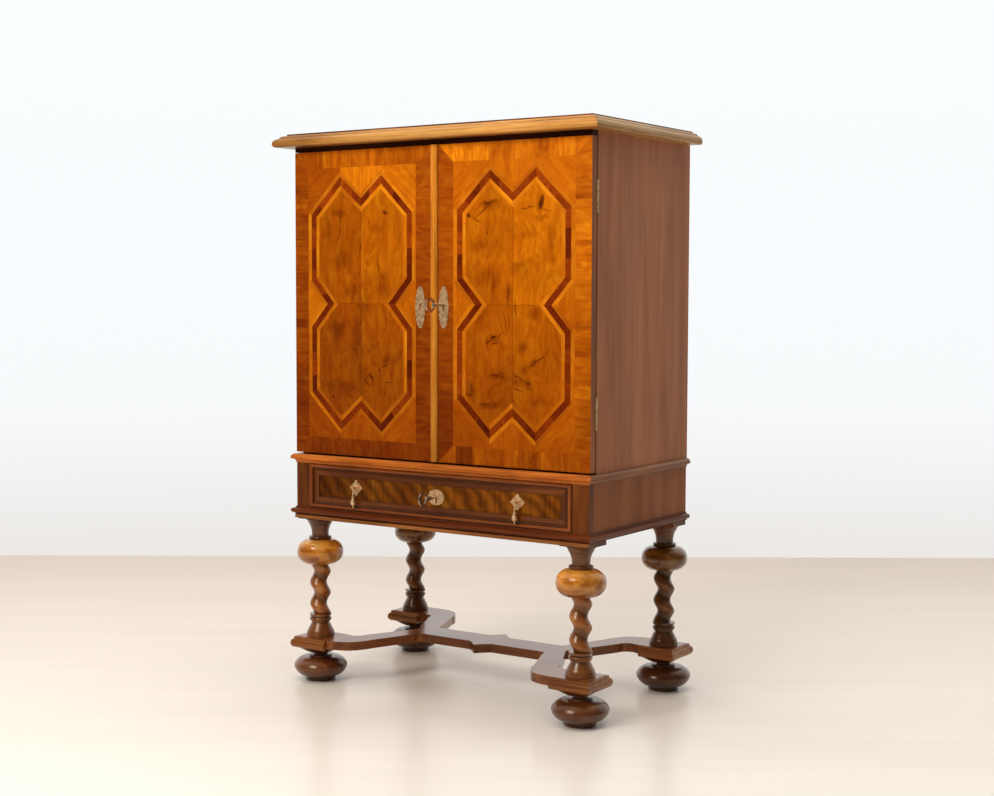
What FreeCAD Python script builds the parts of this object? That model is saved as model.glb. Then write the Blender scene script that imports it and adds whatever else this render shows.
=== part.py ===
import FreeCAD, Part
import math
import os
import re
from types import SimpleNamespace
from FreeCAD import Placement, Rotation, Vector

# Bar cabinet on a stand: a two-door case with veneered doors, a drawer in the stand,
# four turned legs with barley twists, a shaped flat stretcher and bun feet.
# Millimetres, +Z up, -Y to the front. The origin is on the floor under the middle.

size = SimpleNamespace(
    # Case, measured over the closed doors
    case_width=870.0,
    case_depth=472.0,
    case_height=773.0,
    side_thickness=20.0,
    bottom_thickness=20.0,
    back_thickness=8.0,
    frieze_height=11.5,
    shelf_thickness=16.0,
    lower_shelf_height=356.0,
    upper_shelf_height=566.0,
    shelf_setback=40.0,
    bearer_width=14.0,
    bearer_height=18.0,
    # Top
    top_thickness=29.0,
    top_overhang=38.0,
    top_forward=8.0,
    nose_height=21.5,
    top_panel_rise=4.0,
    top_panel_inset=27.0,
    # Stand
    stand_step=2.0,
    stand_proud=2.0,
    stand_side_height=155.5,
    stand_side_thickness=18.0,
    stand_back_thickness=14.0,
    stile_width=44.0,
    stile_thickness=20.0,
    top_rail_height=22.0,
    top_rail_depth=32.0,
    bottom_rail_height=21.0,
    leg_pad_thickness=12.0,
    leg_pad_width=80.0,
    front_pad_depth=80.0,
    back_pad_depth=64.0,
    waist_reach=12.0,
    waist_height=22.0,
    base_reach=12.0,
    lip_lift=4.0,
    lip_reach=8.4,
    lip_tongue=3.0,
    # Legs
    leg_inset_side=43.0,
    leg_inset_front=39.0,
    leg_inset_back=29.0,
    collar_height=53.0,
    collar_radius=35.0,
    neck_radius=21.6,
    ball_height=64.5,
    ball_radius=59.2,
    back_ball_height=60.0,
    back_ball_radius=57.6,
    twist_length=129.0,
    twist_pitch=55.0,
    twist_start=37.0,
    strand_radius=21.4,
    strand_swing=5.1,
    vase_height=57.0,
    vase_radius=35.6,
    ring_radius=28.2,
    # Feet and stretcher
    foot_radius=68.0,
    foot_height=69.0,
    foot_pad_radius=37.5,
    foot_neck_radius=18.0,
    block_height=22.0,
    block_half=44.0,
    block_toe_half=20.0,
    block_moulding_reach=11.0,
    block_moulding_tail=10.0,
    board_thickness=22.0,
    bar_half_width=42.0,
    end_board_run=171.0,
    cusp_reach=32.0,
    cusp_half_width=33.0,
    throat_run=120.0,
    # Doors
    door_thickness=20.0,
    hinge_gap=5.6,
    door_gap=1.5,
    sill_gap=4.5,
    astragal_width=20.0,
    astragal_rise=8.0,
    # Hinges
    hinge_length=74.0,
    hinge_inset=133.0,
    leaf_width=24.0,
    leaf_thickness=1.6,
    knuckle_radius=2.5,
    knuckle_offset=1.0,
    pin_radius=1.2,
    pin_clearance=0.05,
    knuckle_gap=0.3,
    # Door lock, key and escutcheons
    key_backset=16.5,
    key_height=381.0,
    lock_width=34.0,
    lock_height=64.0,
    lock_thickness=14.0,
    lock_wall=1.5,
    bolt_height=14.0,
    bolt_thickness=5.0,
    bolt_length=17.0,
    bolt_travel=8.0,
    bolt_clearance=0.5,
    escutcheon_width=30.0,
    escutcheon_height=100.0,
    escutcheon_thickness=2.0,
    keyhole_lift=6.0,
    left_plate_inset=51.0,
    keyhole_radius=3.2,
    keyhole_slot_width=3.4,
    keyhole_slot_height=10.0,
    shank_radius=2.8,
    key_reach=72.0,
    bow_height=34.0,
    bow_depth=33.0,
    bow_thickness=4.0,
    bow_band=5.0,
    key_collar_radius=4.9,
    key_collar_length=16.0,
    bit_height=8.0,
    bit_width=2.6,
    # Flush bolts in the left door
    flush_bolt_width=10.0,
    flush_bolt_thickness=5.0,
    flush_bolt_length=90.0,
    flush_bolt_inset=18.0,
    flush_bolt_start=1.0,
    flush_bolt_travel=9.0,
    # Drawer
    drawer_gap=1.2,
    drawer_setback=2.0,
    drawer_front_thickness=20.0,
    drawer_side_thickness=12.0,
    drawer_side_height=92.0,
    drawer_back_gap=41.0,
    drawer_bottom_thickness=6.0,
    drawer_bottom_rise=8.0,
    drawer_back_thickness=12.0,
    runner_clearance=0.3,
    runner_thickness=13.0,
    runner_ledge=15.0,
    guide_height=18.0,
    bead_width=9.0,
    bead_rise=7.4,
    frame_width=28.0,
    band_rise=3.2,
    drawer_lock_width=60.0,
    drawer_lock_height=76.0,
    drawer_lock_thickness=12.0,
    drawer_bolt_width=20.0,
    drawer_bolt_height=24.0,
    drawer_plate_width=48.0,
    drawer_plate_height=37.0,
    drawer_plate_thickness=3.0,
    drawer_key_shift=7.0,
    drawer_key_drop=2.5,
    # Drop handles
    handle_inset=149.0,
    handle_lift=3.0,
    plate_half=20.0,
    plate_thickness=2.0,
    post_radius=4.2,
    post_length=16.5,
    eye_radius=3.0,
    eye_width=4.0,
    eye_clearance=0.2,
    eye_pin_radius=1.2,
    drop_length=50.0,
    drop_radius=7.0,
)

# Levels and lines that follow from the sizes
foot_top = size.foot_height
board_bottom = foot_top + size.block_height
board_top = board_bottom + size.board_thickness
vase_top = board_top + size.vase_height
ball_bottom = vase_top + size.twist_length
ball_top = ball_bottom + size.ball_height
leg_top = ball_top + size.collar_height
stand_bottom = leg_top + size.leg_pad_thickness
lip_low = leg_top + size.lip_lift
stand_top = stand_bottom + size.stand_side_height
case_floor = stand_top + size.bottom_thickness
case_top = stand_top + size.case_height
frieze_bottom = case_top - size.frieze_height
board_face = case_top + size.top_thickness

case_half = size.case_width / 2
case_inner = case_half - size.side_thickness
stand_half = case_half - size.stand_step
stand_inner = stand_half - size.stand_side_thickness
opening_half = stand_half - size.stile_width
back_reach = size.foot_radius - size.leg_inset_back
back_line = (size.case_depth + size.key_reach - back_reach) / 2
door_face = back_line - size.case_depth
door_back = door_face + size.door_thickness
hinge_line = door_back + size.hinge_gap / 2
case_front = door_back + size.hinge_gap
stand_front = door_face - size.stand_proud
top_front = door_face - size.top_forward
top_end = back_line - size.top_forward
case_back_face = back_line - size.back_thickness
leg_x = stand_half - size.leg_inset_side
front_leg_y = stand_front + size.leg_inset_front
back_leg_y = back_line - size.leg_inset_back

door_bottom = stand_top + size.sill_gap
door_top = frieze_bottom - size.door_gap
left_door_edge = size.astragal_width / 2
right_door_edge = left_door_edge + size.door_gap
key_x = right_door_edge + size.key_backset
key_z = stand_top + size.key_height
plate_z = key_z - size.keyhole_lift
left_plate_x = left_door_edge - size.left_plate_inset

rail_top = stand_bottom + size.bottom_rail_height
drawer_bottom_line = rail_top + size.drawer_gap
drawer_top_line = stand_top - size.top_rail_height - size.drawer_gap
drawer_half = opening_half - size.drawer_gap
drawer_face = stand_front + size.drawer_setback
drawer_inner_face = drawer_face + size.drawer_front_thickness
drawer_z = (drawer_bottom_line + drawer_top_line) / 2
drawer_key_x = size.drawer_key_shift
drawer_key_z = drawer_z - size.drawer_key_drop
drawer_end = back_line - size.stand_back_thickness - size.drawer_back_gap

doc = FreeCAD.newDocument("bar_cabinet")
sheet = doc.addObject("Spreadsheet::Sheet", "Sheet")
lines = SimpleNamespace(
    foot_top=foot_top, board_bottom=board_bottom, board_top=board_top, vase_top=vase_top,
    ball_bottom=ball_bottom, ball_top=ball_top, leg_top=leg_top, stand_bottom=stand_bottom,
    stand_top=stand_top, case_floor=case_floor, case_top=case_top, frieze_bottom=frieze_bottom,
    lip_low=lip_low, top_front=top_front, top_end=top_end,
    board_face=board_face, case_half=case_half, case_inner=case_inner, stand_half=stand_half,
    stand_inner=stand_inner, opening_half=opening_half, back_line=back_line,
    door_face=door_face, door_back=door_back, hinge_line=hinge_line, case_front=case_front,
    stand_front=stand_front, case_back_face=case_back_face, leg_x=leg_x,
    front_leg_y=front_leg_y, back_leg_y=back_leg_y, door_bottom=door_bottom,
    door_top=door_top, left_door_edge=left_door_edge, right_door_edge=right_door_edge,
    key_x=key_x, key_z=key_z, plate_z=plate_z, left_plate_x=left_plate_x,
    rail_top=rail_top, drawer_bottom_line=drawer_bottom_line,
    drawer_top_line=drawer_top_line,
    drawer_half=drawer_half, drawer_face=drawer_face, drawer_inner_face=drawer_inner_face,
    drawer_z=drawer_z, drawer_end=drawer_end, drawer_key_x=drawer_key_x,
    drawer_key_z=drawer_key_z,
)
for row, (alias, value) in enumerate(list(vars(size).items()) + list(vars(lines).items()), 1):
    sheet.set("A%d" % row, alias)
    sheet.set("B%d" % row, "%.6f" % value)
    sheet.setAlias("B%d" % row, alias)
doc.recompute()

nodes = []


def cell(text):
    """A formula with every word turned into the sheet's cell of that name."""
    return re.sub(r"[a-z][a-z_]+", r"Sheet.\g<0>", text)


def keep(shape_object, name):
    """Mark a finished sub-part, which is written out under this name."""
    shape_object.Label = name
    nodes.append(shape_object)
    return shape_object


def block(name, across, along, up):
    """A rectangular board; each pair is the low and the high end, as formulas."""
    board = doc.addObject("Part::Box", name)
    for side, axis, (low, high) in (("Length", "x", across), ("Width", "y", along),
                                    ("Height", "z", up)):
        board.setExpression(side, "(%s) - (%s)" % (cell(high), cell(low)))
        board.setExpression("Placement.Base." + axis, cell(low))
    return board


def rod(name, radius, length, at, turn=None):
    """A round bar of given radius and length formulas, from a point along its axis."""
    bar = doc.addObject("Part::Cylinder", name)
    bar.setExpression("Radius", cell(radius))
    bar.setExpression("Height", cell(length))
    bar.Placement = Placement(Vector(*at), turn or Rotation())
    return bar


def fused(name, pieces):
    joined = doc.addObject("Part::MultiFuse", name)
    joined.Shapes = pieces
    return joined


def cut(name, base, tools):
    carved = doc.addObject("Part::Cut", name)
    carved.Base = base
    carved.Tool = tools[0] if len(tools) == 1 else fused(name + "_tools", tools)
    return carved


def group(name, pieces):
    """Several separate solids that share one node."""
    together = doc.addObject("Part::Compound", name)
    together.Links = pieces
    return together


def outline(points):
    """Edges of a closed outline: (x, y) ends a line, (via_x, via_y, x, y) ends an arc."""
    edges = []
    last = points[0]
    for point in points[1:] + points[:1]:
        start = Vector(last[-2], last[-1], 0)
        end = Vector(point[-2], point[-1], 0)
        if len(point) == 4:
            edges.append(Part.Arc(start, Vector(point[0], point[1], 0), end))
        elif start.distanceToPoint(end) > 1e-6:
            edges.append(Part.LineSegment(start, end))
        last = point
    return edges


def mirrored(points):
    """The outline's right half and its mirror image, top point first, bottom point last."""
    left = []
    for here, before in zip(reversed(points), reversed([points[0]] + points[:-1])):
        end = (-before[-2], before[-1])
        left.append((-here[0], here[1]) + end if len(here) == 4 else end)
    return points + [p for p in left if p != (-points[0][-2], points[0][-1])]


def sketch(body, role, points_list, offset="0"):
    """A sketch on one of the body's own planes, pushed along the plane's normal."""
    flat = body.newObject("Sketcher::SketchObject", body.Name + "_sketch")
    plane = [f for f in body.Origin.OriginFeatures if f.Role == role][0]
    flat.AttachmentSupport = [(plane, "")]
    flat.MapMode = "FlatFace"
    flat.setExpression("AttachmentOffset.Base.z", cell(offset))
    for points in points_list:
        flat.addGeometry(outline(points), False)
    return flat


def slab(name, role, points_list, length, offset="0"):
    """A piece of one thickness, padded from its outline along the plane's normal."""
    body = doc.addObject("PartDesign::Body", name)
    flat = sketch(body, role, points_list, offset)
    pad = body.newObject("PartDesign::Pad", name + "_pad")
    pad.Profile = flat
    pad.setExpression("Length", cell(length))
    doc.recompute()
    return body


def turned(name, profile, at):
    """A lathe-turned piece: the profile's x is a radius and its y a height."""
    body = doc.addObject("PartDesign::Body", name)
    flat = sketch(body, "XZ_Plane", [profile])
    turning = body.newObject("PartDesign::Revolution", name + "_turning")
    turning.Profile = flat
    turning.ReferenceAxis = (flat, ["V_Axis"])
    turning.Angle = 360
    body.Placement = Placement(Vector(*at), Rotation())
    doc.recompute()
    return body


def mitred_strips(profile, corners, closed=False):
    """Mitred lengths of one moulding along a plan line with square corners.

    The profile's x is the reach to the left of the line and its y a height.
    """
    section = Part.Wire([edge.toShape() for edge in outline(profile)])
    reach = section.BoundBox.XMax + 1
    low = section.BoundBox.YMin - 1
    high = section.BoundBox.YMax + 1
    count = len(corners)
    spans = count if closed else count - 1
    points = [Vector(x, y, 0) for x, y in corners]
    steps = [(points[(i + 1) % count] - points[i]).normalize() for i in range(spans)]
    sides = [Vector(-step.y, step.x, 0) for step in steps]
    strips = []
    for i in range(spans):
        start, end = points[i], points[(i + 1) % count]
        side = sides[i]
        before = sides[i - 1] if closed or i > 0 else Vector()
        after = sides[(i + 1) % spans] if closed or i < spans - 1 else Vector()
        placed = section.copy()
        placed.Placement = Placement(start - steps[i] * reach,
                                     Rotation(side, Vector(0, 0, 1), Vector(), "XYZ"))
        run = end - start + steps[i] * (2 * reach)
        long_strip = Part.Face(placed).extrude(run)
        plan = Part.makePolygon([
            start + Vector(0, 0, low), end + Vector(0, 0, low),
            end + (side + after) * reach + Vector(0, 0, low),
            start + (side + before) * reach + Vector(0, 0, low),
            start + Vector(0, 0, low)])
        prism = Part.Face(plan).extrude(Vector(0, 0, high - low))
        strips.append(long_strip.common(prism).Solids[0])
    return strips


def feature(name, shapes, place=None):
    """Several solids made by hand, kept together in one node."""
    piece = doc.addObject("Part::Feature", name)
    piece.Shape = Part.makeCompound(shapes)
    piece.Placement = place or Placement()
    return piece


# Case
keep(block("case_left_side_board", ("-case_half", "-case_inner"),
           ("case_front", "back_line"), ("stand_top", "case_top")), "case_left_side")
keep(block("case_right_side_board", ("case_inner", "case_half"),
           ("case_front", "back_line"), ("stand_top", "case_top")), "case_right_side")
keep(block("case_bottom_board", ("-case_inner", "case_inner"),
           ("case_front", "case_back_face"), ("stand_top", "case_floor")), "case_bottom")
keep(block("case_back_board", ("-case_inner", "case_inner"),
           ("case_back_face", "back_line"), ("stand_top", "case_top")), "case_back")

bearers = []
for level in ("lower", "upper"):
    base = "case_floor + %s_shelf_height" % level
    keep(block(level + "_shelf_board", ("-case_inner", "case_inner"),
               ("case_front + shelf_setback", "case_back_face"),
               (base, base + " + shelf_thickness")), level + "_shelf")
    for hand, across in (("left", ("-case_inner", "-case_inner + bearer_width")),
                         ("right", ("case_inner - bearer_width", "case_inner"))):
        bearers.append(block("%s_%s_bearer" % (level, hand), across,
                             ("case_front + shelf_setback", "case_back_face"),
                             (base + " - bearer_height", base)))
keep(group("bearer_group", bearers), "shelf_bearers")

# The frieze rail closes the case above the doors and takes the left door's upper bolt.
bolt_across = ("left_door_edge - flush_bolt_inset - flush_bolt_width / 2 - bolt_clearance",
               "left_door_edge - flush_bolt_inset + flush_bolt_width / 2 + bolt_clearance")
bolt_along = ("door_back - flush_bolt_thickness - bolt_clearance", "door_back")
upper_keeper = block("upper_keeper", bolt_across, bolt_along,
                     ("frieze_bottom", "frieze_bottom + flush_bolt_travel"))
frieze = block("frieze_board", ("-case_half", "case_half"), ("door_face", "case_front"),
               ("frieze_bottom", "case_top"))
keep(cut("frieze", frieze, [upper_keeper]), "frieze_rail")

# The top is a core board with a raised panel, inside three mitred lengths of moulding.
core = block("top_core", ("-case_half", "case_half"), ("top_front", "top_end"),
             ("case_top", "board_face"))
raised = block("top_raised",
               ("-case_half - top_overhang + top_panel_inset",
                "case_half + top_overhang - top_panel_inset"),
               ("top_front - top_overhang + top_panel_inset", "top_end"),
               ("board_face", "board_face + top_panel_rise"))
keep(fused("top_joined", [core, raised]), "top_board")

# A deep rounded nose that is widest low down, with a quarter round on top of it
reach = size.top_overhang
nose_top = case_top + size.nose_height
top_edge = [(0, case_top), (reach - 9, case_top),
            (reach - 1.6, case_top + 2.6, reach, case_top + 8),
            (reach - 3.6, nose_top - 4.2, reach - 12, nose_top),
            (reach - 13, nose_top), (reach - 13, nose_top + 1.5),
            (reach - 17, board_face - 1.8, reach - 23, board_face), (0, board_face)]


def around(half, front, end=back_line):
    """Plan line round the right side, the front and the left side of a box."""
    return [(half, end), (half, front), (-half, front), (-half, end)]


keep(feature("top_edge", mitred_strips(top_edge, around(case_half, top_front, top_end))),
     "top_moulding")

# Stand
keep(block("stand_left_board", ("-stand_half", "-stand_inner"),
           ("stand_front + stile_thickness", "back_line"), ("stand_bottom", "stand_top")),
     "stand_left_side")
keep(block("stand_right_board", ("stand_inner", "stand_half"),
           ("stand_front + stile_thickness", "back_line"), ("stand_bottom", "stand_top")),
     "stand_right_side")
keep(block("stand_back_board", ("-stand_inner", "stand_inner"),
           ("back_line - stand_back_thickness", "back_line"), ("stand_bottom", "stand_top")),
     "stand_back")
stiles = [block(hand + "_stile", across, ("stand_front", "stand_front + stile_thickness"),
                ("stand_bottom", "stand_top"))
          for hand, across in (("left", ("-stand_half", "-opening_half")),
                               ("right", ("opening_half", "stand_half")))]
keep(group("stile_group", stiles), "stand_front_stiles")

# The top rail takes the drawer lock's bolt from below and the left door's bolt from above.
rail = block("top_rail_board", ("-opening_half", "opening_half"),
             ("stand_front", "stand_front + top_rail_depth"),
             ("stand_top - top_rail_height", "stand_top"))
lower_keeper = block("lower_keeper", bolt_across, bolt_along,
                     ("stand_top - flush_bolt_travel", "stand_top"))
drawer_bolt_y = ("drawer_inner_face - drawer_lock_thickness / 2 - bolt_thickness / 2",
                 "drawer_inner_face - drawer_lock_thickness / 2 + bolt_thickness / 2")
drawer_mouth_x = ("drawer_key_x - drawer_bolt_width / 2 - bolt_clearance",
                  "drawer_key_x + drawer_bolt_width / 2 + bolt_clearance")
drawer_keeper = block("drawer_keeper", drawer_mouth_x,
                      (drawer_bolt_y[0] + " - bolt_clearance",
                       drawer_bolt_y[1] + " + bolt_clearance"),
                      ("stand_top - top_rail_height",
                       "stand_top - top_rail_height + bolt_travel"))
keep(cut("top_rail", rail, [lower_keeper, drawer_keeper]), "stand_top_rail")

strip_half = stand_half - size.leg_pad_width
rail_body = slab("bottom_rail", "XZ_Plane", [[
    (-strip_half, lip_low), (strip_half, lip_low), (strip_half, stand_bottom),
    (opening_half, stand_bottom), (opening_half, rail_top), (-opening_half, rail_top),
    (-opening_half, stand_bottom), (-strip_half, stand_bottom)]],
    "stile_thickness", "-stand_front - stile_thickness")
rail_lip = block("bottom_rail_lip", ("-stand_half", "stand_half"),
                 ("stand_front - lip_reach", "stand_front + lip_tongue"),
                 ("lip_low", "stand_bottom"))
keep(fused("bottom_rail_joined", [rail_body, rail_lip]), "stand_bottom_rail")

pads = []
for side in ("left", "right"):
    across = {"left": ("-stand_half", "-stand_half + leg_pad_width"),
              "right": ("stand_half - leg_pad_width", "stand_half")}[side]
    for end, along in (("front", ("stand_front + lip_tongue",
                                  "stand_front + front_pad_depth")),
                       ("back", ("back_line - back_pad_depth", "back_line"))):
        pads.append(block("%s_%s_pad" % (end, side), across, along,
                          ("leg_top", "stand_bottom")))
keep(group("pad_group", pads), "leg_pads")

waist_low = stand_top - size.waist_height
reach = size.waist_reach
waist = [(0, waist_low), (reach * 0.17, waist_low),
         (reach * 0.3, waist_low + 6, reach * 0.7, waist_low + 8.5),
         (reach, waist_low + 9.5), (reach, waist_low + 11.5),
         (reach * 0.86, waist_low + 17.5, reach * 0.35, stand_top), (0, stand_top)]
keep(feature("waist_run", mitred_strips(waist, around(stand_half, stand_front))),
     "waist_moulding")

reach = size.base_reach
skirt = [(0, stand_bottom), (reach * 0.3, stand_bottom), (reach * 0.3, stand_bottom + 2.5),
         (reach * 0.5, stand_bottom + 4),
         (reach * 0.78, stand_bottom + 5.6, reach, stand_bottom + 10.5),
         (reach * 0.93, stand_bottom + 13.8, reach * 0.72, stand_bottom + 15.2),
         (reach * 0.2, stand_bottom + 17.5), (reach * 0.2, rail_top), (0, rail_top)]
keep(feature("base_run", mitred_strips(skirt, around(stand_half, stand_front))),
     "base_moulding")

# Each drawer runner is a ledge board with a guide strip on it.
runners = []
for hand, sign in (("left", "-"), ("right", "")):
    for part, inner, low, high in (("ledge", "opening_half - runner_ledge",
                                    "rail_top - runner_thickness", "rail_top"),
                                   ("guide", "opening_half", "rail_top",
                                    "rail_top + guide_height")):
        across = ["%s(%s)" % (sign, inner), "%sstand_inner" % sign]
        runners.append(block("%s_%s" % (hand, part), across if sign == "" else across[::-1],
                             ("stand_front + stile_thickness",
                              "back_line - stand_back_thickness"), (low, high)))
keep(group("runner_group", runners), "drawer_runners")

# Legs, from the collar under the stand down to the foot
collar = [(0, ball_top), (size.neck_radius + 3.5, ball_top),
          (size.neck_radius + 7.4, ball_top + 4, size.neck_radius + 3.5, ball_top + 8),
          (size.neck_radius, ball_top + 8.5), (size.neck_radius, ball_top + 14),
          (size.neck_radius + 1.5, ball_top + 26, size.neck_radius + 6.5, leg_top - 14),
          (size.neck_radius + 8, leg_top - 12.5), (size.neck_radius + 8.6, leg_top - 11),
          (size.collar_radius - 3, leg_top - 7, size.collar_radius, leg_top - 3),
          (size.collar_radius, leg_top), (0, leg_top)]


def ball_profile(radius, height):
    """A flattened ball that hangs below ball_top."""
    low = ball_top - height
    rise = height / 2
    shoulder = radius * 0.965
    return [(0, low), (radius * 0.48, low),
            (radius * 0.79, low + rise * 0.2, shoulder, low + rise * 0.6),
            (radius, low + rise, shoulder, low + rise * 1.4),
            (radius * 0.79, ball_top - rise * 0.2, radius * 0.48, ball_top), (0, ball_top)]


ball_sizes = {"front": (size.ball_radius, size.ball_height),
              "back": (size.back_ball_radius, size.back_ball_height)}
twist_heights = {"front": "twist_length",
                 "back": "twist_length + ball_height - back_ball_height"}
bell = size.vase_radius
vase = [(0, board_top), (bell, board_top), (bell, board_top + 3),
        (bell - 1.6, board_top + 12, bell - 5.5, board_top + 20),
        (bell - 10, board_top + 29, 22, vase_top - 22),
        (22, vase_top - 20), (25, vase_top - 20), (25, vase_top - 17.5),
        (size.ring_radius, vase_top - 13, 25, vase_top - 8.5),
        (23, vase_top - 8), (23, vase_top - 5.5), (27.4, vase_top - 4.5),
        (27.4, vase_top), (0, vase_top)]
bun = size.foot_radius
foot = [(0, 0), (size.foot_pad_radius, 0), (size.foot_pad_radius, 10.5), (bun * 0.6, 11),
        (bun * 0.89, 21, bun, 36), (bun, 38.5), (bun * 0.89, 50.5, bun * 0.55, 59.5),
        (bun * 0.43, 61), (bun * 0.43, 64), (size.foot_neck_radius, 64.5),
        (size.foot_neck_radius, foot_top), (0, foot_top)]

corners = [("front_left", -1, "front"), ("front_right", 1, "front"),
           ("back_left", -1, "back"), ("back_right", 1, "back")]
collars, balls, blocks, block_edges = [], [], [], []
for name, hand, row in corners:
    x = hand * leg_x
    y = front_leg_y if row == "front" else back_leg_y
    collars.append(turned(name + "_collar", collar, (x, y, 0)))
    balls.append(turned(name + "_ball_turning", ball_profile(*ball_sizes[row]), (x, y, 0)))
    base = turned(name + "_vase", vase, (x, y, 0))
    keep(turned(name + "_bun", foot, (x, y, 0)), name + "_bun_foot")

    # Barley twist: a round strand whose centre circles the leg's axis as it climbs.
    phase = math.radians(size.twist_start + (180 if name == "back_right" else 0))
    helix = doc.addObject("Part::Helix", name + "_helix")
    helix.setExpression("Pitch", cell("twist_pitch"))
    helix.setExpression("Height", cell(twist_heights[row]))
    helix.setExpression("Radius", cell("strand_swing"))
    helix.LocalCoord = 1
    helix.Placement = Placement(Vector(x, y, vase_top), Rotation(Vector(0, 0, 1),
                                                                 math.degrees(phase)))
    ring = doc.addObject("Part::Circle", name + "_strand")
    ring.setExpression("Radius", cell("strand_radius"))
    ring.Placement = Placement(Vector(x + size.strand_swing * math.cos(phase),
                                      y + size.strand_swing * math.sin(phase), vase_top),
                               Rotation())
    strand = doc.addObject("Part::Sweep", name + "_twist")
    strand.Sections = [ring]
    strand.Spine = (helix, ["Edge1"])
    strand.Solid = True
    strand.Frenet = True
    keep(fused(name + "_turned", [base, strand]), name + "_twist_leg")

    wedge = doc.addObject("Part::Wedge", name + "_taper")
    for low, wide, narrow in (("Xmin", "-block_toe_half", "-block_half"),
                              ("Xmax", "block_toe_half", "block_half")):
        for axis in ("X", "Z"):
            tail = low[1:]
            wedge.setExpression(axis + tail, cell(wide))
            wedge.setExpression(axis + "2" + tail, cell(narrow))
    wedge.Ymin = 0
    wedge.setExpression("Ymax", cell("block_height * 0.75"))
    wedge.Placement = Placement(Vector(x, y, foot_top), Rotation(Vector(1, 0, 0), 90))
    head = doc.addObject("Part::Box", name + "_head")
    for side_name in ("Length", "Width"):
        head.setExpression(side_name, cell("block_half * 2"))
    head.setExpression("Height", cell("block_height * 0.25"))
    head.Placement = Placement(Vector(x - size.block_half, y - size.block_half,
                                      foot_top + size.block_height * 0.75), Rotation())
    blocks.append(fused(name + "_block", [wedge, head]))

    edge_low = board_bottom - size.block_height * 0.25
    reach = size.block_moulding_reach
    edge = [(0, edge_low), (reach * 0.6, edge_low),
            (reach, edge_low + 9, reach * 0.7, board_top - 8),
            (reach * 0.4, board_top - 6.5), (reach * 0.4, board_top - 1), (0, board_top - 1)]
    outward = -1 if row == "front" else 1
    half = size.block_half
    inner_y = y - outward * half
    outer_y = y + outward * half
    outer_x = x + hand * half
    inner_x = x - hand * half
    line = [(inner_x - hand * size.block_moulding_tail, outer_y), (outer_x, outer_y),
            (outer_x, inner_y), (inner_x, inner_y)]
    if hand * outward < 0:
        line.reverse()
    block_edges += mitred_strips(edge, line)
keep(group("collar_group", collars), "leg_collars")
keep(group("ball_group", balls), "leg_balls")
keep(group("block_group", blocks), "corner_blocks")
keep(feature("block_edge_group", block_edges), "corner_mouldings")

# Flat stretcher: a middle bar with pointed cusps, and a shaped board at each end
middle_y = (front_leg_y + back_leg_y) / 2
span = (back_leg_y - front_leg_y) / 2
bar = size.bar_half_width
cusp = size.cusp_half_width
tip = bar + size.cusp_reach
long_end = leg_x - size.block_half - size.end_board_run
bar_edge = [(cusp, bar), (cusp * 0.5, bar + size.cusp_reach * 0.45, 0, tip),
            (-cusp * 0.5, bar + size.cusp_reach * 0.45, -cusp, bar)]
bar_outline = ([(long_end, bar)] + bar_edge + [(-long_end, bar), (-long_end, -bar)]
               + [(-p[0], -p[1]) if len(p) == 2 else (-p[0], -p[1], -p[2], -p[3])
                  for p in bar_edge] + [(long_end, -bar)])
centre = slab("stretcher_bar", "XY_Plane", [bar_outline], "board_thickness", "board_bottom")
centre.Placement = Placement(Vector(0, middle_y, 0), Rotation())
keep(centre, "stretcher_centre")

pad_inner = leg_x - size.block_half
pad_outer = leg_x + size.block_half
pad_far = span + size.block_half
pad_near = span - size.block_half
throat = pad_inner - size.throat_run


def inner_edge(across, along):
    """A point of the arm's inner edge, as shares of its run and its rise."""
    return (long_end + across * (pad_inner - long_end), bar + along * (pad_far - bar))


def outer_edge(across, along):
    """A point of the arm's outer edge, from the throat to the leg's pad."""
    return (throat + across * (pad_inner - throat), along * pad_near)


arm = [(long_end, bar), inner_edge(0.06, 0),
       inner_edge(0.1, 0.022) + inner_edge(0.12, 0.08),
       inner_edge(0.275, 0.39) + inner_edge(0.4, 0.645),
       inner_edge(0.485, 0.822) + inner_edge(0.6, 0.932),
       inner_edge(0.75, 0.98) + inner_edge(0.93, 1),
       (pad_outer, pad_far), (pad_outer, pad_near), (pad_inner, pad_near),
       outer_edge(0.8, 1.03), outer_edge(0.66, 1.0) + outer_edge(0.585, 0.9),
       outer_edge(0.31, 0.46) + (throat, 0)]
lower_half = []
route = arm[::-1]
for here, following in zip(route, route[1:]):
    end = (following[-2], -following[-1])
    lower_half.append((here[0], -here[1]) + end if len(here) == 4 else end)
end_outline = arm + lower_half
for hand, sign in (("right", 1), ("left", -1)):
    points = [tuple(v * sign if i % 2 == 0 else v for i, v in enumerate(p))
              for p in end_outline]
    end_board = slab(hand + "_end_board", "XY_Plane", [points], "board_thickness",
                     "board_bottom")
    end_board.Placement = Placement(Vector(0, middle_y, 0), Rotation())
    keep(end_board, "stretcher_%s_end" % hand)

# Hinges: five knuckles on a pin that is fixed in the case's three
knuckle_x = case_half + size.knuckle_offset
knuckle_step = size.hinge_length / 5
hinge_heights = [door_bottom + size.hinge_inset, door_top - size.hinge_inset]


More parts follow.
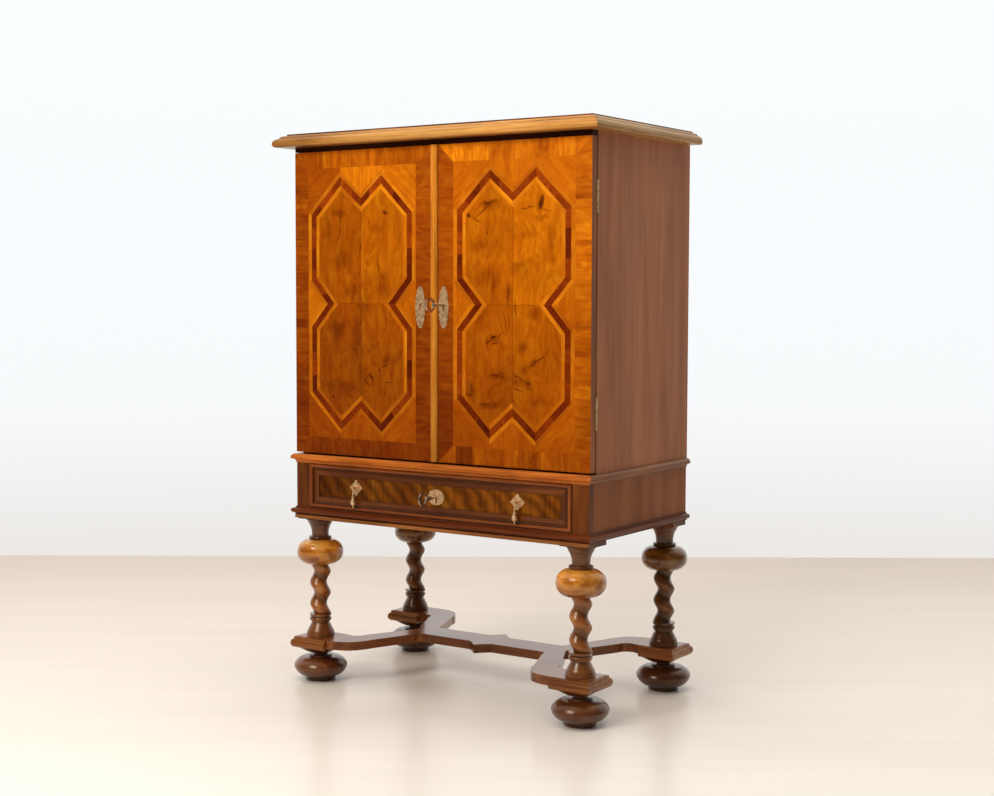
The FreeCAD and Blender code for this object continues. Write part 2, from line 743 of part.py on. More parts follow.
def hinge_leaf(name, hand, height, rows, side):
    """One leaf with its knuckles; side is -1 on the door and +1 on the case."""
    base = height - size.hinge_length / 2
    root = knuckle_x - size.knuckle_radius - size.knuckle_gap
    free = knuckle_x - size.leaf_width
    far_y = hinge_line + side * size.hinge_gap / 2
    near_y = far_y - side * size.leaf_thickness
    low_y = min(far_y, near_y)
    plates = [Part.makeBox(root - free, size.leaf_thickness, size.hinge_length,
                           Vector(free, low_y, base))]
    for i in rows:
        low = base + i * knuckle_step + size.knuckle_gap / 2
        tall = knuckle_step - size.knuckle_gap
        plates.append(Part.makeBox(knuckle_x - root, size.leaf_thickness, tall,
                                   Vector(root, low_y, low)))
        plates.append(Part.makeCylinder(size.knuckle_radius, tall, Vector(knuckle_x,
                                                                          hinge_line, low)))
    leaf = plates[0].multiFuse(plates[1:])
    pin = Part.makeCylinder(size.pin_radius + (size.pin_clearance if side < 0 else 0),
                            size.hinge_length, Vector(knuckle_x, hinge_line, base))
    leaf = leaf.cut(pin) if side < 0 else leaf.fuse(pin)
    leaf = leaf.removeSplitter()
    return leaf if hand > 0 else leaf.mirror(Vector(), Vector(1, 0, 0))


case_leaves = [hinge_leaf("case", hand, height, (0, 2, 4), 1)
               for hand in (-1, 1) for height in hinge_heights]
keep(feature("case_leaves", case_leaves), "case_hinge_leaves")
for name, hand in (("left", -1), ("right", 1)):
    leaves = [hinge_leaf(name, hand, height, (1, 3), -1) for height in hinge_heights]
    keep(feature(name + "_leaves", leaves), name + "_door_hinge_leaves")

# Doors
facing_front = Rotation(Vector(1, 0, 0), 90)
lock_z = ("key_z - lock_height / 2", "key_z + lock_height / 2")
bolt_low = "key_z + shank_radius + bit_height + 1"
bolt_z = (bolt_low, bolt_low + " + bolt_height")
bolt_y = ("door_back - lock_thickness / 2 - bolt_thickness / 2",
          "door_back - lock_thickness / 2 + bolt_thickness / 2")


def keyhole(name, x, z, face, depth):
    """Round hole with a slot under it, cut into a face from the front."""
    hole = rod(name + "_hole", "keyhole_radius", depth, (0, 0, 0), facing_front)
    hole.setExpression("Placement.Base.x", cell(x))
    hole.setExpression("Placement.Base.y", cell("%s + %s" % (face, depth)))
    hole.setExpression("Placement.Base.z", cell(z))
    slot = block(name + "_slot",
                 ("%s - keyhole_slot_width / 2" % x, "%s + keyhole_slot_width / 2" % x),
                 (face, "%s + %s" % (face, depth)),
                 ("%s - keyhole_slot_height - keyhole_radius" % z, z))
    return [hole, slot]


left_slab = block("left_door_slab", ("-case_half", "left_door_edge"),
                  ("door_face", "door_back"), ("door_bottom", "door_top"))
bolt_mortise = block("bolt_mortise",
                     ("left_door_edge - bolt_travel - bolt_clearance", "left_door_edge"),
                     (bolt_y[0] + " - bolt_clearance", bolt_y[1] + " + bolt_clearance"),
                     (bolt_z[0] + " - bolt_clearance", bolt_z[1] + " + bolt_clearance"))
groove_length = "flush_bolt_length + flush_bolt_start + flush_bolt_travel"
upper_groove = block("upper_groove", bolt_across, bolt_along,
                     ("door_top - (%s)" % groove_length, "door_top"))
lower_groove = block("lower_groove", bolt_across, bolt_along,
                     ("door_bottom", "door_bottom + %s" % groove_length))
keep(cut("left_door_carved", left_slab,
         [bolt_mortise, upper_groove, lower_groove]
         + keyhole("left_keyhole", "left_plate_x", "key_z", "door_face", "lock_wall * 4")),
     "left_door")

right_slab = block("right_door_slab", ("right_door_edge", "case_half"),
                   ("door_face", "door_back"), ("door_bottom", "door_top"))
lock_recess = block("lock_recess", ("right_door_edge", "right_door_edge + lock_width"),
                    ("door_back - lock_thickness", "door_back"), lock_z)
keep(cut("right_door_carved", right_slab,
         [lock_recess] + keyhole("right_keyhole", "key_x", "key_z", "door_face",
                                 "door_thickness - lock_thickness")), "right_door")

strip = [(-size.astragal_width / 2, door_face),
         (-size.astragal_width / 2, door_face - 2),
         (0, door_face - size.astragal_rise, size.astragal_width / 2, door_face - 2),
         (size.astragal_width / 2, door_face)]
keep(slab("astragal_strip", "XY_Plane", [strip], "door_top - door_bottom", "door_bottom"),
     "door_astragal")

# Escutcheons: long plates with scalloped edges
w = size.escutcheon_width / 2
t = size.escutcheon_height / 2
scallops = [(0, t), (w * 0.3, t * 0.97, w * 0.42, t * 0.86),
            (w * 0.62, t * 0.81, w * 0.6, t * 0.7),
            (w * 0.8, t * 0.6, w * 0.76, t * 0.46),
            (w * 0.93, t * 0.36, w * 0.88, t * 0.2),
            (w, 0, w * 0.88, -t * 0.2),
            (w * 0.93, -t * 0.36, w * 0.76, -t * 0.46),
            (w * 0.8, -t * 0.6, w * 0.6, -t * 0.7),
            (w * 0.62, -t * 0.81, w * 0.42, -t * 0.86),
            (w * 0.3, -t * 0.97, 0, -t)]
for name, x in (("left", "left_plate_x"), ("right", "key_x")):
    plate = slab(name + "_plate", "XZ_Plane", [mirrored(scallops)], "escutcheon_thickness")
    plate.setExpression("Placement.Base.x", cell(x))
    plate.setExpression("Placement.Base.y", cell("door_face"))
    plate.setExpression("Placement.Base.z", cell("plate_z"))
    keep(cut(name + "_plate_carved", plate,
             keyhole(name + "_plate_keyhole", x, "key_z",
                     "door_face - escutcheon_thickness", "escutcheon_thickness")),
         name + "_escutcheon")


def hollow_lock(name, across, along, up, mouth, key_hole):
    """A sheet-metal lock case: a box with an empty inside, a key hole and a bolt mouth."""
    outer = block(name + "_outer", across, along, up)
    inner = block(name + "_inner", *[("%s + lock_wall" % low, "%s - lock_wall" % high)
                                     for low, high in (across, along, up)])
    return cut(name + "_case", outer, [inner, mouth] + key_hole)


mouth = block("door_bolt_mouth", ("right_door_edge", "right_door_edge + lock_wall"),
              (bolt_y[0] + " - bolt_clearance", bolt_y[1] + " + bolt_clearance"),
              (bolt_z[0] + " - bolt_clearance", bolt_z[1] + " + bolt_clearance"))
keep(hollow_lock("door_lock_box", ("right_door_edge", "right_door_edge + lock_width"),
                 ("door_back - lock_thickness", "door_back"), lock_z, mouth,
                 keyhole("lock_keyhole", "key_x", "key_z", "door_back - lock_thickness",
                         "lock_wall")), "door_lock")
keep(block("door_bolt_bar",
           ("right_door_edge + bolt_clearance",
            "right_door_edge + bolt_clearance + bolt_length"), bolt_y, bolt_z),
     "door_lock_bolt")

for name, up in (("upper", ("door_top - flush_bolt_start - flush_bolt_length",
                            "door_top - flush_bolt_start")),
                 ("lower", ("door_bottom + flush_bolt_start",
                            "door_bottom + flush_bolt_start + flush_bolt_length"))):
    keep(block(name + "_flush_bolt_bar",
               ("left_door_edge - flush_bolt_inset - flush_bolt_width / 2",
                "left_door_edge - flush_bolt_inset + flush_bolt_width / 2"),
               ("door_back - flush_bolt_thickness", "door_back"), up),
         "left_door_%s_bolt" % name)


def key(name, x, z, face, inner_face):
    """A key in its lock: bow, collar, shank, and a bit inside the lock case."""
    bow_y = getattr(lines, face) - size.key_reach + size.bow_depth / 2
    tail_y = getattr(lines, inner_face) - size.lock_wall - size.bolt_clearance
    high = size.bow_height / 2
    deep = size.bow_depth / 2
    band = size.bow_band
    ring = [(bow_y, -high), (bow_y + deep, 0, bow_y, high), (bow_y - deep, 0, bow_y, -high)]
    eye = [(bow_y, -high + band), (bow_y + deep - band, 0, bow_y, high - band),
           (bow_y - deep + band, 0, bow_y, -high + band)]
    bow = slab(name + "_bow", "YZ_Plane", [ring, eye], "bow_thickness", "-bow_thickness / 2")
    bow.Placement = Placement(Vector(x, 0, z), Rotation())
    shank = rod(name + "_shank", "shank_radius",
                "(%s - lock_wall - bolt_clearance) - (%s - key_reach + bow_depth"
                " - bow_band / 2)" % (inner_face, face), (x, tail_y, z), facing_front)
    collar_ring = rod(name + "_collar", "key_collar_radius", "key_collar_length",
                      (x, bow_y + deep + size.key_collar_length - band / 2, z), facing_front)
    bit = doc.addObject("Part::Box", name + "_bit")
    bit.setExpression("Length", cell("bit_width"))
    bit.setExpression("Width", cell("bolt_thickness"))
    bit.setExpression("Height", cell("bit_height + shank_radius"))
    bit.Placement = Placement(Vector(x - size.bit_width / 2, tail_y - size.bolt_thickness,
                                     z - size.bit_height - size.shank_radius), Rotation())
    return fused(name + "_joined", [bow, shank, collar_ring, bit])


keep(key("door_key_blank", key_x, key_z, "door_face", "door_back"), "door_key")

# Drawer
side_low = rail_top + size.runner_clearance
side_top = side_low + size.drawer_side_height
drawer_slab = block("drawer_front_board", ("-drawer_half", "drawer_half"),
                    ("drawer_face", "drawer_inner_face"),
                    ("drawer_bottom_line", "drawer_top_line"))
drawer_lock_z = ("drawer_top_line - drawer_lock_height", "drawer_top_line")
drawer_lock_x = ("drawer_key_x - drawer_lock_width / 2", "drawer_key_x + drawer_lock_width / 2")
drawer_recess = block("drawer_lock_recess", drawer_lock_x,
                      ("drawer_inner_face - drawer_lock_thickness", "drawer_inner_face"),
                      drawer_lock_z)
front_depth = "drawer_front_thickness - drawer_lock_thickness"
keep(cut("drawer_front_carved", drawer_slab,
         [drawer_recess] + keyhole("drawer_keyhole", "drawer_key_x", "drawer_key_z",
                                   "drawer_face", front_depth)), "drawer_front")
side_outline = [(drawer_inner_face, side_low), (drawer_end, side_low), (drawer_end, side_top),
                (drawer_inner_face, side_top)]
keep(group("drawer_side_group", [
    slab("left_drawer_side", "YZ_Plane", [side_outline], "drawer_side_thickness",
         "-drawer_half"),
    slab("right_drawer_side", "YZ_Plane", [side_outline], "drawer_side_thickness",
         "drawer_half - drawer_side_thickness")]), "drawer_sides")
inner_across = ("-drawer_half + drawer_side_thickness", "drawer_half - drawer_side_thickness")
drawer_floor = "rail_top + runner_clearance + drawer_bottom_rise"
keep(block("drawer_back_board", inner_across,
           ("drawer_end - drawer_back_thickness", "drawer_end"),
           (drawer_floor, "rail_top + runner_clearance + drawer_side_height")), "drawer_back")
keep(block("drawer_floor_board", inner_across,
           ("drawer_inner_face", "drawer_end - drawer_back_thickness"),
           (drawer_floor, drawer_floor + " + drawer_bottom_thickness")), "drawer_bottom")

# Moulded frame planted on the drawer front: a bead, a hollow and a stepped band
bead = size.bead_width
frame_width = size.frame_width
band = size.band_rise
frame_profile = [(0, 0), (0, 3), (bead / 2, size.bead_rise, bead, 3), (bead, 0.8),
                 (bead + 2, 0.8), (bead + 5.5, band * 0.4, bead + 8, band),
                 (frame_width - 2.5, band),
                 (frame_width - 0.7, band * 0.9, frame_width, 1), (frame_width, 0)]
drawer_low = drawer_bottom_line
frame_line = [(-drawer_half, drawer_low), (drawer_half, drawer_low),
              (drawer_half, drawer_top_line), (-drawer_half, drawer_top_line)]
keep(feature("drawer_frame", mitred_strips(frame_profile, frame_line, closed=True),
             Placement(Vector(0, drawer_face, 0), facing_front)), "drawer_moulding")

lock_mouth = block("drawer_bolt_mouth", drawer_mouth_x,
                   (drawer_bolt_y[0] + " - bolt_clearance",
                    drawer_bolt_y[1] + " + bolt_clearance"),
                   ("drawer_top_line - lock_wall", "drawer_top_line"))
keep(hollow_lock("drawer_lock_box", drawer_lock_x,
                 ("drawer_inner_face - drawer_lock_thickness", "drawer_inner_face"),
                 ("drawer_top_line - drawer_lock_height", "drawer_top_line"), lock_mouth,
                 keyhole("drawer_lock_keyhole", "drawer_key_x", "drawer_key_z",
                         "drawer_inner_face - drawer_lock_thickness", "lock_wall")),
     "drawer_lock")
keep(block("drawer_bolt_bar",
           ("drawer_key_x - drawer_bolt_width / 2", "drawer_key_x + drawer_bolt_width / 2"),
           drawer_bolt_y, ("drawer_top_line - bolt_clearance - drawer_bolt_height",
                           "drawer_top_line - bolt_clearance")), "drawer_lock_bolt")

half_wide = size.drawer_plate_width / 2
half_tall = size.drawer_plate_height / 2
oval = [(0, half_tall), (half_wide * 0.72, half_tall * 0.7, half_wide, 0),
        (half_wide * 0.72, -half_tall * 0.7, 0, -half_tall)]
drawer_plate = slab("drawer_plate", "XZ_Plane", [mirrored(oval)], "drawer_plate_thickness")
drawer_plate.setExpression("Placement.Base.x", cell("drawer_key_x"))
drawer_plate.setExpression("Placement.Base.y", cell("drawer_face"))
drawer_plate.setExpression("Placement.Base.z", cell("drawer_key_z"))
keep(cut("drawer_plate_carved", drawer_plate,
         keyhole("drawer_plate_keyhole", "drawer_key_x", "drawer_key_z",
                 "drawer_face - drawer_plate_thickness", "drawer_plate_thickness")),
     "drawer_escutcheon")
keep(key("drawer_key_blank", drawer_key_x, drawer_key_z, "drawer_face", "drawer_inner_face"),
     "drawer_key")

# Drop handles: a diamond plate with a forked post, and a drop on the fork's pin
handle_z = drawer_z + size.handle_lift
pin_y = drawer_face - size.post_length + size.eye_radius
diamond = [(0, -size.plate_half), (size.plate_half, 0), (0, size.plate_half),
           (-size.plate_half, 0)]
drop_profile = [(0, -size.eye_radius + 0.6), (1.7, -size.eye_radius + 0.6),
                (1.5, -size.drop_length * 0.22), (2.6, -size.drop_length * 0.26),
                (1.9, -size.drop_length * 0.3),
                (size.drop_radius * 0.6, -size.drop_length * 0.52,
                 size.drop_radius * 0.95, -size.drop_length * 0.68),
                (size.drop_radius, -size.drop_length * 0.75,
                 size.drop_radius * 0.8, -size.drop_length * 0.82),
                (1.7, -size.drop_length * 0.9), (2.2, -size.drop_length * 0.94),
                (0.8, -size.drop_length), (0, -size.drop_length)]
plates = []
for name, sign in (("left", -1), ("right", 1)):
    x = sign * (opening_half - size.handle_inset)
    plate = slab(name + "_handle_plate", "XZ_Plane", [diamond], "plate_thickness")
    plate.Placement = Placement(Vector(x, drawer_face, handle_z), Rotation())
    post = rod(name + "_post", "post_radius", "post_length", (x, drawer_face, handle_z),
               facing_front)
    reach = size.eye_radius * 2 + size.eye_clearance
    slot_width = size.eye_width + 2 * size.eye_clearance
    fork = doc.addObject("Part::Box", name + "_fork_slot")
    fork.setExpression("Length", cell("eye_width + 2 * eye_clearance"))
    fork.setExpression("Width", cell("eye_radius * 2 + eye_clearance"))
    fork.setExpression("Height", cell("post_radius * 2"))
    fork.Placement = Placement(Vector(x - slot_width / 2, drawer_face - size.post_length,
                                      handle_z - size.post_radius), Rotation())
    along_x = Rotation(Vector(0, 1, 0), 90)
    pin = rod(name + "_fork_pin", "eye_pin_radius", "post_radius * 1.6",
              (x - size.post_radius * 0.8, pin_y, handle_z), along_x)
    plates.append(fused(name + "_plate_joined",
                        [plate, cut(name + "_forked_post", post, [fork]), pin]))

    eye = rod(name + "_eye", "eye_radius", "eye_width", (x - size.eye_width / 2, pin_y,
                                                         handle_z), along_x)
    drop = turned(name + "_drop", drop_profile, (x, pin_y, handle_z))
    eye_hole = rod(name + "_eye_hole", "eye_pin_radius + pin_clearance", "eye_width",
                   (x - size.eye_width / 2, pin_y, handle_z), along_x)
    keep(cut(name + "_drop_bored", fused(name + "_drop_joined", [eye, drop]), [eye_hole]),
         name + "_drop_handle")
keep(group("handle_plate_group", plates), "handle_plates")

doc.recompute()
os.makedirs("parts", exist_ok=True)
for item in doc.Objects:
    if "Invalid" in item.State or "Error" in item.State:
        raise RuntimeError("%s failed: %s" % (item.Name, item.State))
for node in nodes:
    if node.Shape.isNull() or not node.Shape.isValid() or not node.Shape.Solids:
        raise RuntimeError(node.Label + " has no valid solid")
for node in nodes:
    node.Shape.exportStep("parts/%s.step" % node.Label)
    print("%-28s %2d solids %10.1f mm3" % (node.Label, len(node.Shape.Solids),
                                           node.Shape.Volume))
print(len(nodes), "nodes")
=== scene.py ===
# %% [markdown]
# # A bar cabinet on a stand
# A veneered case with two inlaid doors stands on a frame with one drawer, four turned legs
# with barley twists, a flat shaped stretcher and bun feet. The solid pieces come from the
# engineering model, in metres, so nothing is modelled twice. This lesson gives them wood,
# brass and steel, lays the inlaid veneer on the doors, adds the small metalwork, and sets
# the light and the camera.

import math
import random

import bmesh
import bpy
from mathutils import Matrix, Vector
from mathutils.geometry import intersect_line_line_2d


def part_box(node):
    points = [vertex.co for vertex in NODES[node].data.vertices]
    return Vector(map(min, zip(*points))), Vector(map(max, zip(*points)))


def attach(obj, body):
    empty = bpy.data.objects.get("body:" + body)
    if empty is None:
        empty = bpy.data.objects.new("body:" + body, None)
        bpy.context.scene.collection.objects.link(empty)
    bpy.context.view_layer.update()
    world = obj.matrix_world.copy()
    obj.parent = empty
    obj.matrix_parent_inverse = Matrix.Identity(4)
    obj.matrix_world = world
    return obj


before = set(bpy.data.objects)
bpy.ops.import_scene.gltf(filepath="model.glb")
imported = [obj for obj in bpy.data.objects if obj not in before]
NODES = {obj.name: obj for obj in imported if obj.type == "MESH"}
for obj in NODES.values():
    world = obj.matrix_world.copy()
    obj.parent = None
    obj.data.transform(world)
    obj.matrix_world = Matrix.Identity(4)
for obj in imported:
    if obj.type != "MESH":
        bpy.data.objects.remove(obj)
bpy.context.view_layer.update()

# %% [markdown]
# ## Colours and nodes
# Wood colours are written as screen values from 0 to 255 and turned into linear light once.
# Each material, the room light and the small metalwork are nets of nodes. They could be
# wired by hand in Blender's editor, but then every wood would be wired again. A small
# helper adds a node and fills its inputs, with numbers or with what other nodes put out, so
# that every wood is one recipe with its own numbers.

# %% Colours
def rgb(red, green, blue):
    """Linear colour, with alpha, from screen values."""
    def linear(value):
        value /= 255
        return value / 12.92 if value <= 0.04045 else ((value + 0.055) / 1.055) ** 2.4
    return (linear(red), linear(green), linear(blue), 1.0)


print("screen value 128 is", round(rgb(128, 0, 0)[0], 3), "in linear light")

# %% A helper for any net of nodes
class Tree:
    """A short way to add nodes to a tree and link them."""

    def __init__(self, tree):
        self.tree = tree

    def feed(self, node, socket, value):
        """Set an input to a value, or link it to another node's output."""
        if isinstance(value, bpy.types.NodeSocket):
            self.tree.links.new(value, node.inputs[socket])
        else:
            node.inputs[socket].default_value = value

    def node(self, kind, inputs=None, **settings):
        made = self.tree.nodes.new(kind)
        for key, value in settings.items():
            setattr(made, key, value)
        for socket, value in (inputs or {}).items():
            self.feed(made, socket, value)
        return made

    def math(self, operation, *values):
        return self.node("ShaderNodeMath", dict(enumerate(values)),
                         operation=operation).outputs[0]

    def split(self, vector):
        """The vector's X, Y and Z."""
        return self.node("ShaderNodeSeparateXYZ", {0: vector}).outputs

    def mapped(self, vector, scale, location=(0, 0, 0), turn=(0, 0, 0), kind="POINT"):
        return self.node("ShaderNodeMapping", {"Vector": vector, "Scale": scale,
                                               "Location": location, "Rotation": turn},
                         vector_type=kind).outputs[0]

    def noise(self, vector, scale, detail=3.0, distortion=0.0, rough=0.5, output="Fac"):
        return self.node("ShaderNodeTexNoise", {
            "Vector": vector, "Scale": scale, "Detail": detail, "Distortion": distortion,
            "Roughness": rough}).outputs[output]

    def bent(self, vector, scale, amount):
        """The vector pushed about by slow noise, so that straight things turn wavy."""
        drift = self.noise(vector, scale, 2.0, output="Color")
        push = self.mapped(drift, (amount,) * 3, (-amount / 2,) * 3)
        return self.node("ShaderNodeVectorMath", {0: vector, 1: push},
                         operation="ADD").outputs[0]

    def spread(self, value, low, high, start=0.0, end=1.0, kind="LINEAR"):
        """The value from start to end stretched over low to high."""
        return self.node("ShaderNodeMapRange", {
            "Value": value, "From Min": start, "From Max": end, "To Min": low,
            "To Max": high}, interpolation_type=kind).outputs[0]

    def ramp(self, value, stops):
        """Colours along a value; a stop is its place and its colour."""
        made = self.node("ShaderNodeValToRGB", {"Fac": value})
        elements = made.color_ramp.elements
        while len(elements) < len(stops):
            elements.new(0.5)
        for element, (place, colour) in zip(elements, stops):
            element.position = place
            element.color = (*colour[:3], 1.0)
        return made.outputs["Color"]

    def mix(self, mode, amount, first, second):
        """Two colours mixed; this node keeps its colours on sockets 6, 7 and 2."""
        return self.node("ShaderNodeMix", {0: amount, 6: first, 7: second},
                         data_type="RGBA", blend_type=mode, clamp_result=False).outputs[2]

    def layered(self, colour, *layers):
        """The colour multiplied by each layer in turn."""
        for layer in layers:
            colour = self.mix("MULTIPLY", 1.0, colour, layer)
        return colour


print("node helper:", ", ".join(name for name in vars(Tree) if name[0] != "_"))

# %% A helper for finishes
SHELLAC_TINT = (1.0, 0.72, 0.45)
COAT_ROUGHNESS = 0.13


class Finish(Tree):
    """A new material, with its shader and the place on the piece."""

    def __init__(self, name):
        self.material = bpy.data.materials.new(name)
        self.material.use_nodes = True
        super().__init__(self.material.node_tree)
        self.shader = self.tree.nodes["Principled BSDF"]
        self.place = self.node("ShaderNodeTexCoord").outputs["Object"]

    def surface(self, **values):
        """Feed the shader's sockets, named with _ for a space."""
        for socket, value in values.items():
            self.feed(self.shader, socket.replace("_", " "), value)

    def bump(self, height, strength, distance):
        made = self.node("ShaderNodeBump", {"Height": height, "Strength": strength,
                                            "Distance": distance})
        self.surface(Normal=made.outputs["Normal"])

    def polish(self, sheen, coat, tint=SHELLAC_TINT):
        """Old shellac: a warm, weak shine, and a clear coat where it is still thick."""
        self.surface(Specular_IOR_Level=sheen, Specular_Tint=(*tint, 1.0), Coat_Weight=coat,
                     Coat_Roughness=COAT_ROUGHNESS)


print("finish helper adds:", ", ".join(name for name in vars(Finish) if name[0] != "_"))

# %% [markdown]
# ## Grain
# Polished walnut shows long soft streaks along the grain and fine dark pores over them. A
# picture of wood would show its repeats and couldn't follow the grain round a mitre, so the
# grain is noise that is stretched along one axis of the piece. At a mitre it turns with the
# moulding.

# %% Grain along one axis
STRETCH = {"x": (0.9, 9.0, 9.0), "y": (9.0, 0.9, 9.0), "z": (9.0, 9.0, 0.9)}
PORES_ACROSS, PORES_ALONG = 10, 2.5


def grain_field(tree, axis, scale):
    """Streak and pore values for grain along one axis."""
    stretch = STRETCH[axis]
    streaks = tree.noise(tree.mapped(tree.place, tuple(scale * v for v in stretch)),
                         1.0, 5.0, 0.6)
    fine = tuple(scale * (v * (PORES_ACROSS if v > 1 else PORES_ALONG)) for v in stretch)
    pores = tree.noise(tree.mapped(tree.place, fine), 1.0, 2.0, 0.0)
    return streaks, pores


def past_mitre(tree, mitre):
    """1 where a moulding runs the other way, past its mitre at the corner."""
    half, line, kind = mitre
    x, y, z = tree.split(tree.place)
    past = tree.math("SUBTRACT", tree.math("ABSOLUTE", x), half)
    if kind == "plan":
        return tree.math("GREATER_THAN", past, tree.math("SUBTRACT", line, y))
    centre, half_height = line
    height = tree.math("ABSOLUTE", tree.math("SUBTRACT", z, centre))
    return tree.math("GREATER_THAN", past, tree.math("SUBTRACT", height, half_height))


print("grain can run along", ", ".join(STRETCH))

# %% [markdown]
# ## Figure and painted shade
# One even brown looks like plastic. The drawer's front is cut from a fork of the tree and
# shows flames, the case sides are glued up from boards, and the hollows of the turned legs
# are darkened as painted shade. Each of these is a layer that multiplies the colour, so a
# wood takes only the layers that it shows.

# %% Flames and boards
FLAME_SPACING, FLAME_SLANT, FLAME_WARP = (190.0, 70.0, 190.0), 0.8, 12.0


def flames(tree, amount):
    """Feathered slanting flames, as in wood cut from a fork of the tree."""
    warp = tree.noise(tree.place, 9.0, 4.0, 0.8)
    slant = tree.split(tree.mapped(tree.place, FLAME_SPACING, turn=(0, FLAME_SLANT, 0)))[0]
    wave = tree.math("SINE", tree.math("ADD", slant,
                                       tree.math("MULTIPLY", warp, FLAME_WARP)))
    return tree.spread(wave, 1 - amount, 1 + amount, -1.0, 1.0)


def board_tones(tree, width):
    """Upright boards of one width that differ a little in tone."""
    count = tree.math("FLOOR", tree.math("DIVIDE", tree.split(tree.place)[1], width))
    chance = tree.node("ShaderNodeTexWhiteNoise", {"W": count}, noise_dimensions="1D")
    return tree.spread(chance.outputs["Value"], 0.9, 1.06)


print("flames lean", round(math.degrees(FLAME_SLANT)), "degrees")

# %% Painted shade in the hollows of the turned legs
front_low, front_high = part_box("front_right_bun_foot")
back_low, back_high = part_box("back_right_bun_foot")
LEG_X = (front_low.x + front_high.x) / 2
LEG_MIDDLE = (front_low.y + front_high.y + back_low.y + back_high.y) / 4
LEG_REACH = (back_low.y + back_high.y) / 2 - LEG_MIDDLE


def painted_hollow_shade(tree, tone, inner, outer):
    """Painted shade: the tone up to the inner radius round a leg's axis, and plain from the
    outer one.
    """
    x, y, z = tree.split(tree.place)
    squares = []
    for value, middle, reach in ((x, 0.0, LEG_X), (y, LEG_MIDDLE, LEG_REACH)):
        off = tree.math("ABSOLUTE", tree.math("SUBTRACT", value, middle))
        squares.append(tree.math("POWER", tree.math("SUBTRACT", off, reach), 2.0))
    radius = tree.math("SQRT", tree.math("ADD", *squares))
    return tree.spread(radius, tone, 1.0, inner, outer)


print("leg axes at", round(LEG_X, 4), "and", round(LEG_MIDDLE, 4), "+-",
      round(LEG_REACH, 4))

# %% [markdown]
# ## The wood recipe
# Three colours follow the streaks, a slow cloud passes over the board, and the pores go on
# last, because they are cut through everything else. Drift is painted light: it makes one
# end of a piece lighter or darker, where more or less light falls on it. Behind a mitre the
# moulding is another length of wood, and its side faces there get a tint that is painted
# shade and sheen.

# %% Wood from grain, figure and age
PORE_TONE, PORE_DEPTH = (0.6, 0.55, 0.5), 0.0004


def wood(name, dark, mid, light, axis="z", scale=3.0, cloud=0.2, gloss=0.32, sheen=0.3,
         coat=0.1, mitre=None, painted_side_light=None, figure=0.0, boards=0.0, drift=(), pore=0.7,
         hollows=None):
    """Polished wood.

    mitre = (half width, front line, 'plan' or 'face') turns the grain, and
    painted_side_light tints the wood past it, as painted shade and sheen on the side faces;
    drift = [(axis, tone at start, tone at end, start, end), ...] is painted light that makes
    one end lighter or darker; hollows = (tone, inner radius, outer radius) darkens what lies
    near a leg's axis as painted shade.
    """
    tree = Finish(name)
    streaks, pores = grain_field(tree, axis, scale)
    if mitre:
        side = past_mitre(tree, mitre)
        other = grain_field(tree, {"plan": "y", "face": "z"}[mitre[2]], scale)
        streaks = tree.mix("MIX", side, streaks, other[0])
        pores = tree.mix("MIX", side, pores, other[1])
    colour = tree.ramp(streaks, [(0.3, dark), (0.5, mid), (0.72, light)])
    if painted_side_light:
        colour = tree.mix("MULTIPLY", side, colour, (*painted_side_light, 1.0))
    slow = tree.noise(tree.mapped(tree.place, (1, 1, 1), (3.1, 1.7, 0.4)), 5.0, 2.0, 0.5)
    layers = [tree.spread(slow, 1 - 2 * cloud, 1 + 2 * cloud)]
    if figure:
        layers.append(flames(tree, figure))
    if boards:
        layers.append(board_tones(tree, boards))
    for line, *numbers in drift:
        layers.append(tree.spread(tree.split(tree.place)["xyz".index(line)], *numbers))
    if hollows:
        layers.append(painted_hollow_shade(tree, *hollows))
    dots = tree.ramp(pores, [(0.34, PORE_TONE), (0.46, (1, 1, 1))])
    colour = tree.mix("MULTIPLY", pore, tree.layered(colour, *layers), dots)
    tree.surface(Base_Color=colour, Roughness=tree.spread(slow, gloss - 0.06, gloss + 0.1))
    tree.polish(sheen, coat)
    tree.bump(pores, 0.1, PORE_DEPTH)
    print("wood:", name, "with its grain along", axis)
    return tree.material


print("pores are up to", PORE_DEPTH * 1000, "mm deep")

# %% [markdown]
# ## The woods of the cabinet
# The case sides are a plain brown wood, the top's rounded nose is the palest, the turned
# legs and feet are darker and glossier, and the balls are a light, figured wood. Parts
# inside are plain softwood. Each wood is the recipe with its three colours, judged from the
# object, and the axis of its grain. The woods could be one material with a mask, but one for
# each finish keeps every number where a reader looks for it.

# %% Sides, rails and mouldings
case_half, door_face = 0.435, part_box("right_door")[0].y
stand_half, stand_front = 0.433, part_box("stand_front_stiles")[0].y
drawer_low, drawer_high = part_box("drawer_front")
drawer_middle = (drawer_low.z + drawer_high.z) / 2
case_mitre = (case_half, door_face, "plan")
stand_mitre = (stand_half, stand_front, "plan")
drawer_mitre = (drawer_high.x, (drawer_middle, drawer_high.z - drawer_middle), "face")

# The case sides get lighter towards the top: painted light, where more of the lamps' light
# falls.
case_side = wood("case_side", rgb(154, 94, 60), rgb(170, 107, 70), rgb(184, 121, 82),
                 scale=2.2, cloud=0.06, gloss=0.45, sheen=0.25, coat=0.0, boards=0.115,
                 pore=0.3, drift=[("z", 1.0, 1.16, 1.0, 1.34)])
stand_side = wood("stand_side", rgb(122, 66, 30), rgb(140, 79, 39), rgb(156, 94, 51),
                  scale=2.0, cloud=0.14, gloss=0.42, sheen=0.2, coat=0.0, pore=0.3)
stiles = wood("stiles", rgb(78, 36, 12), rgb(108, 54, 19), rgb(132, 72, 28), scale=3.2,
              cloud=0.1, sheen=0.2, coat=0.0)
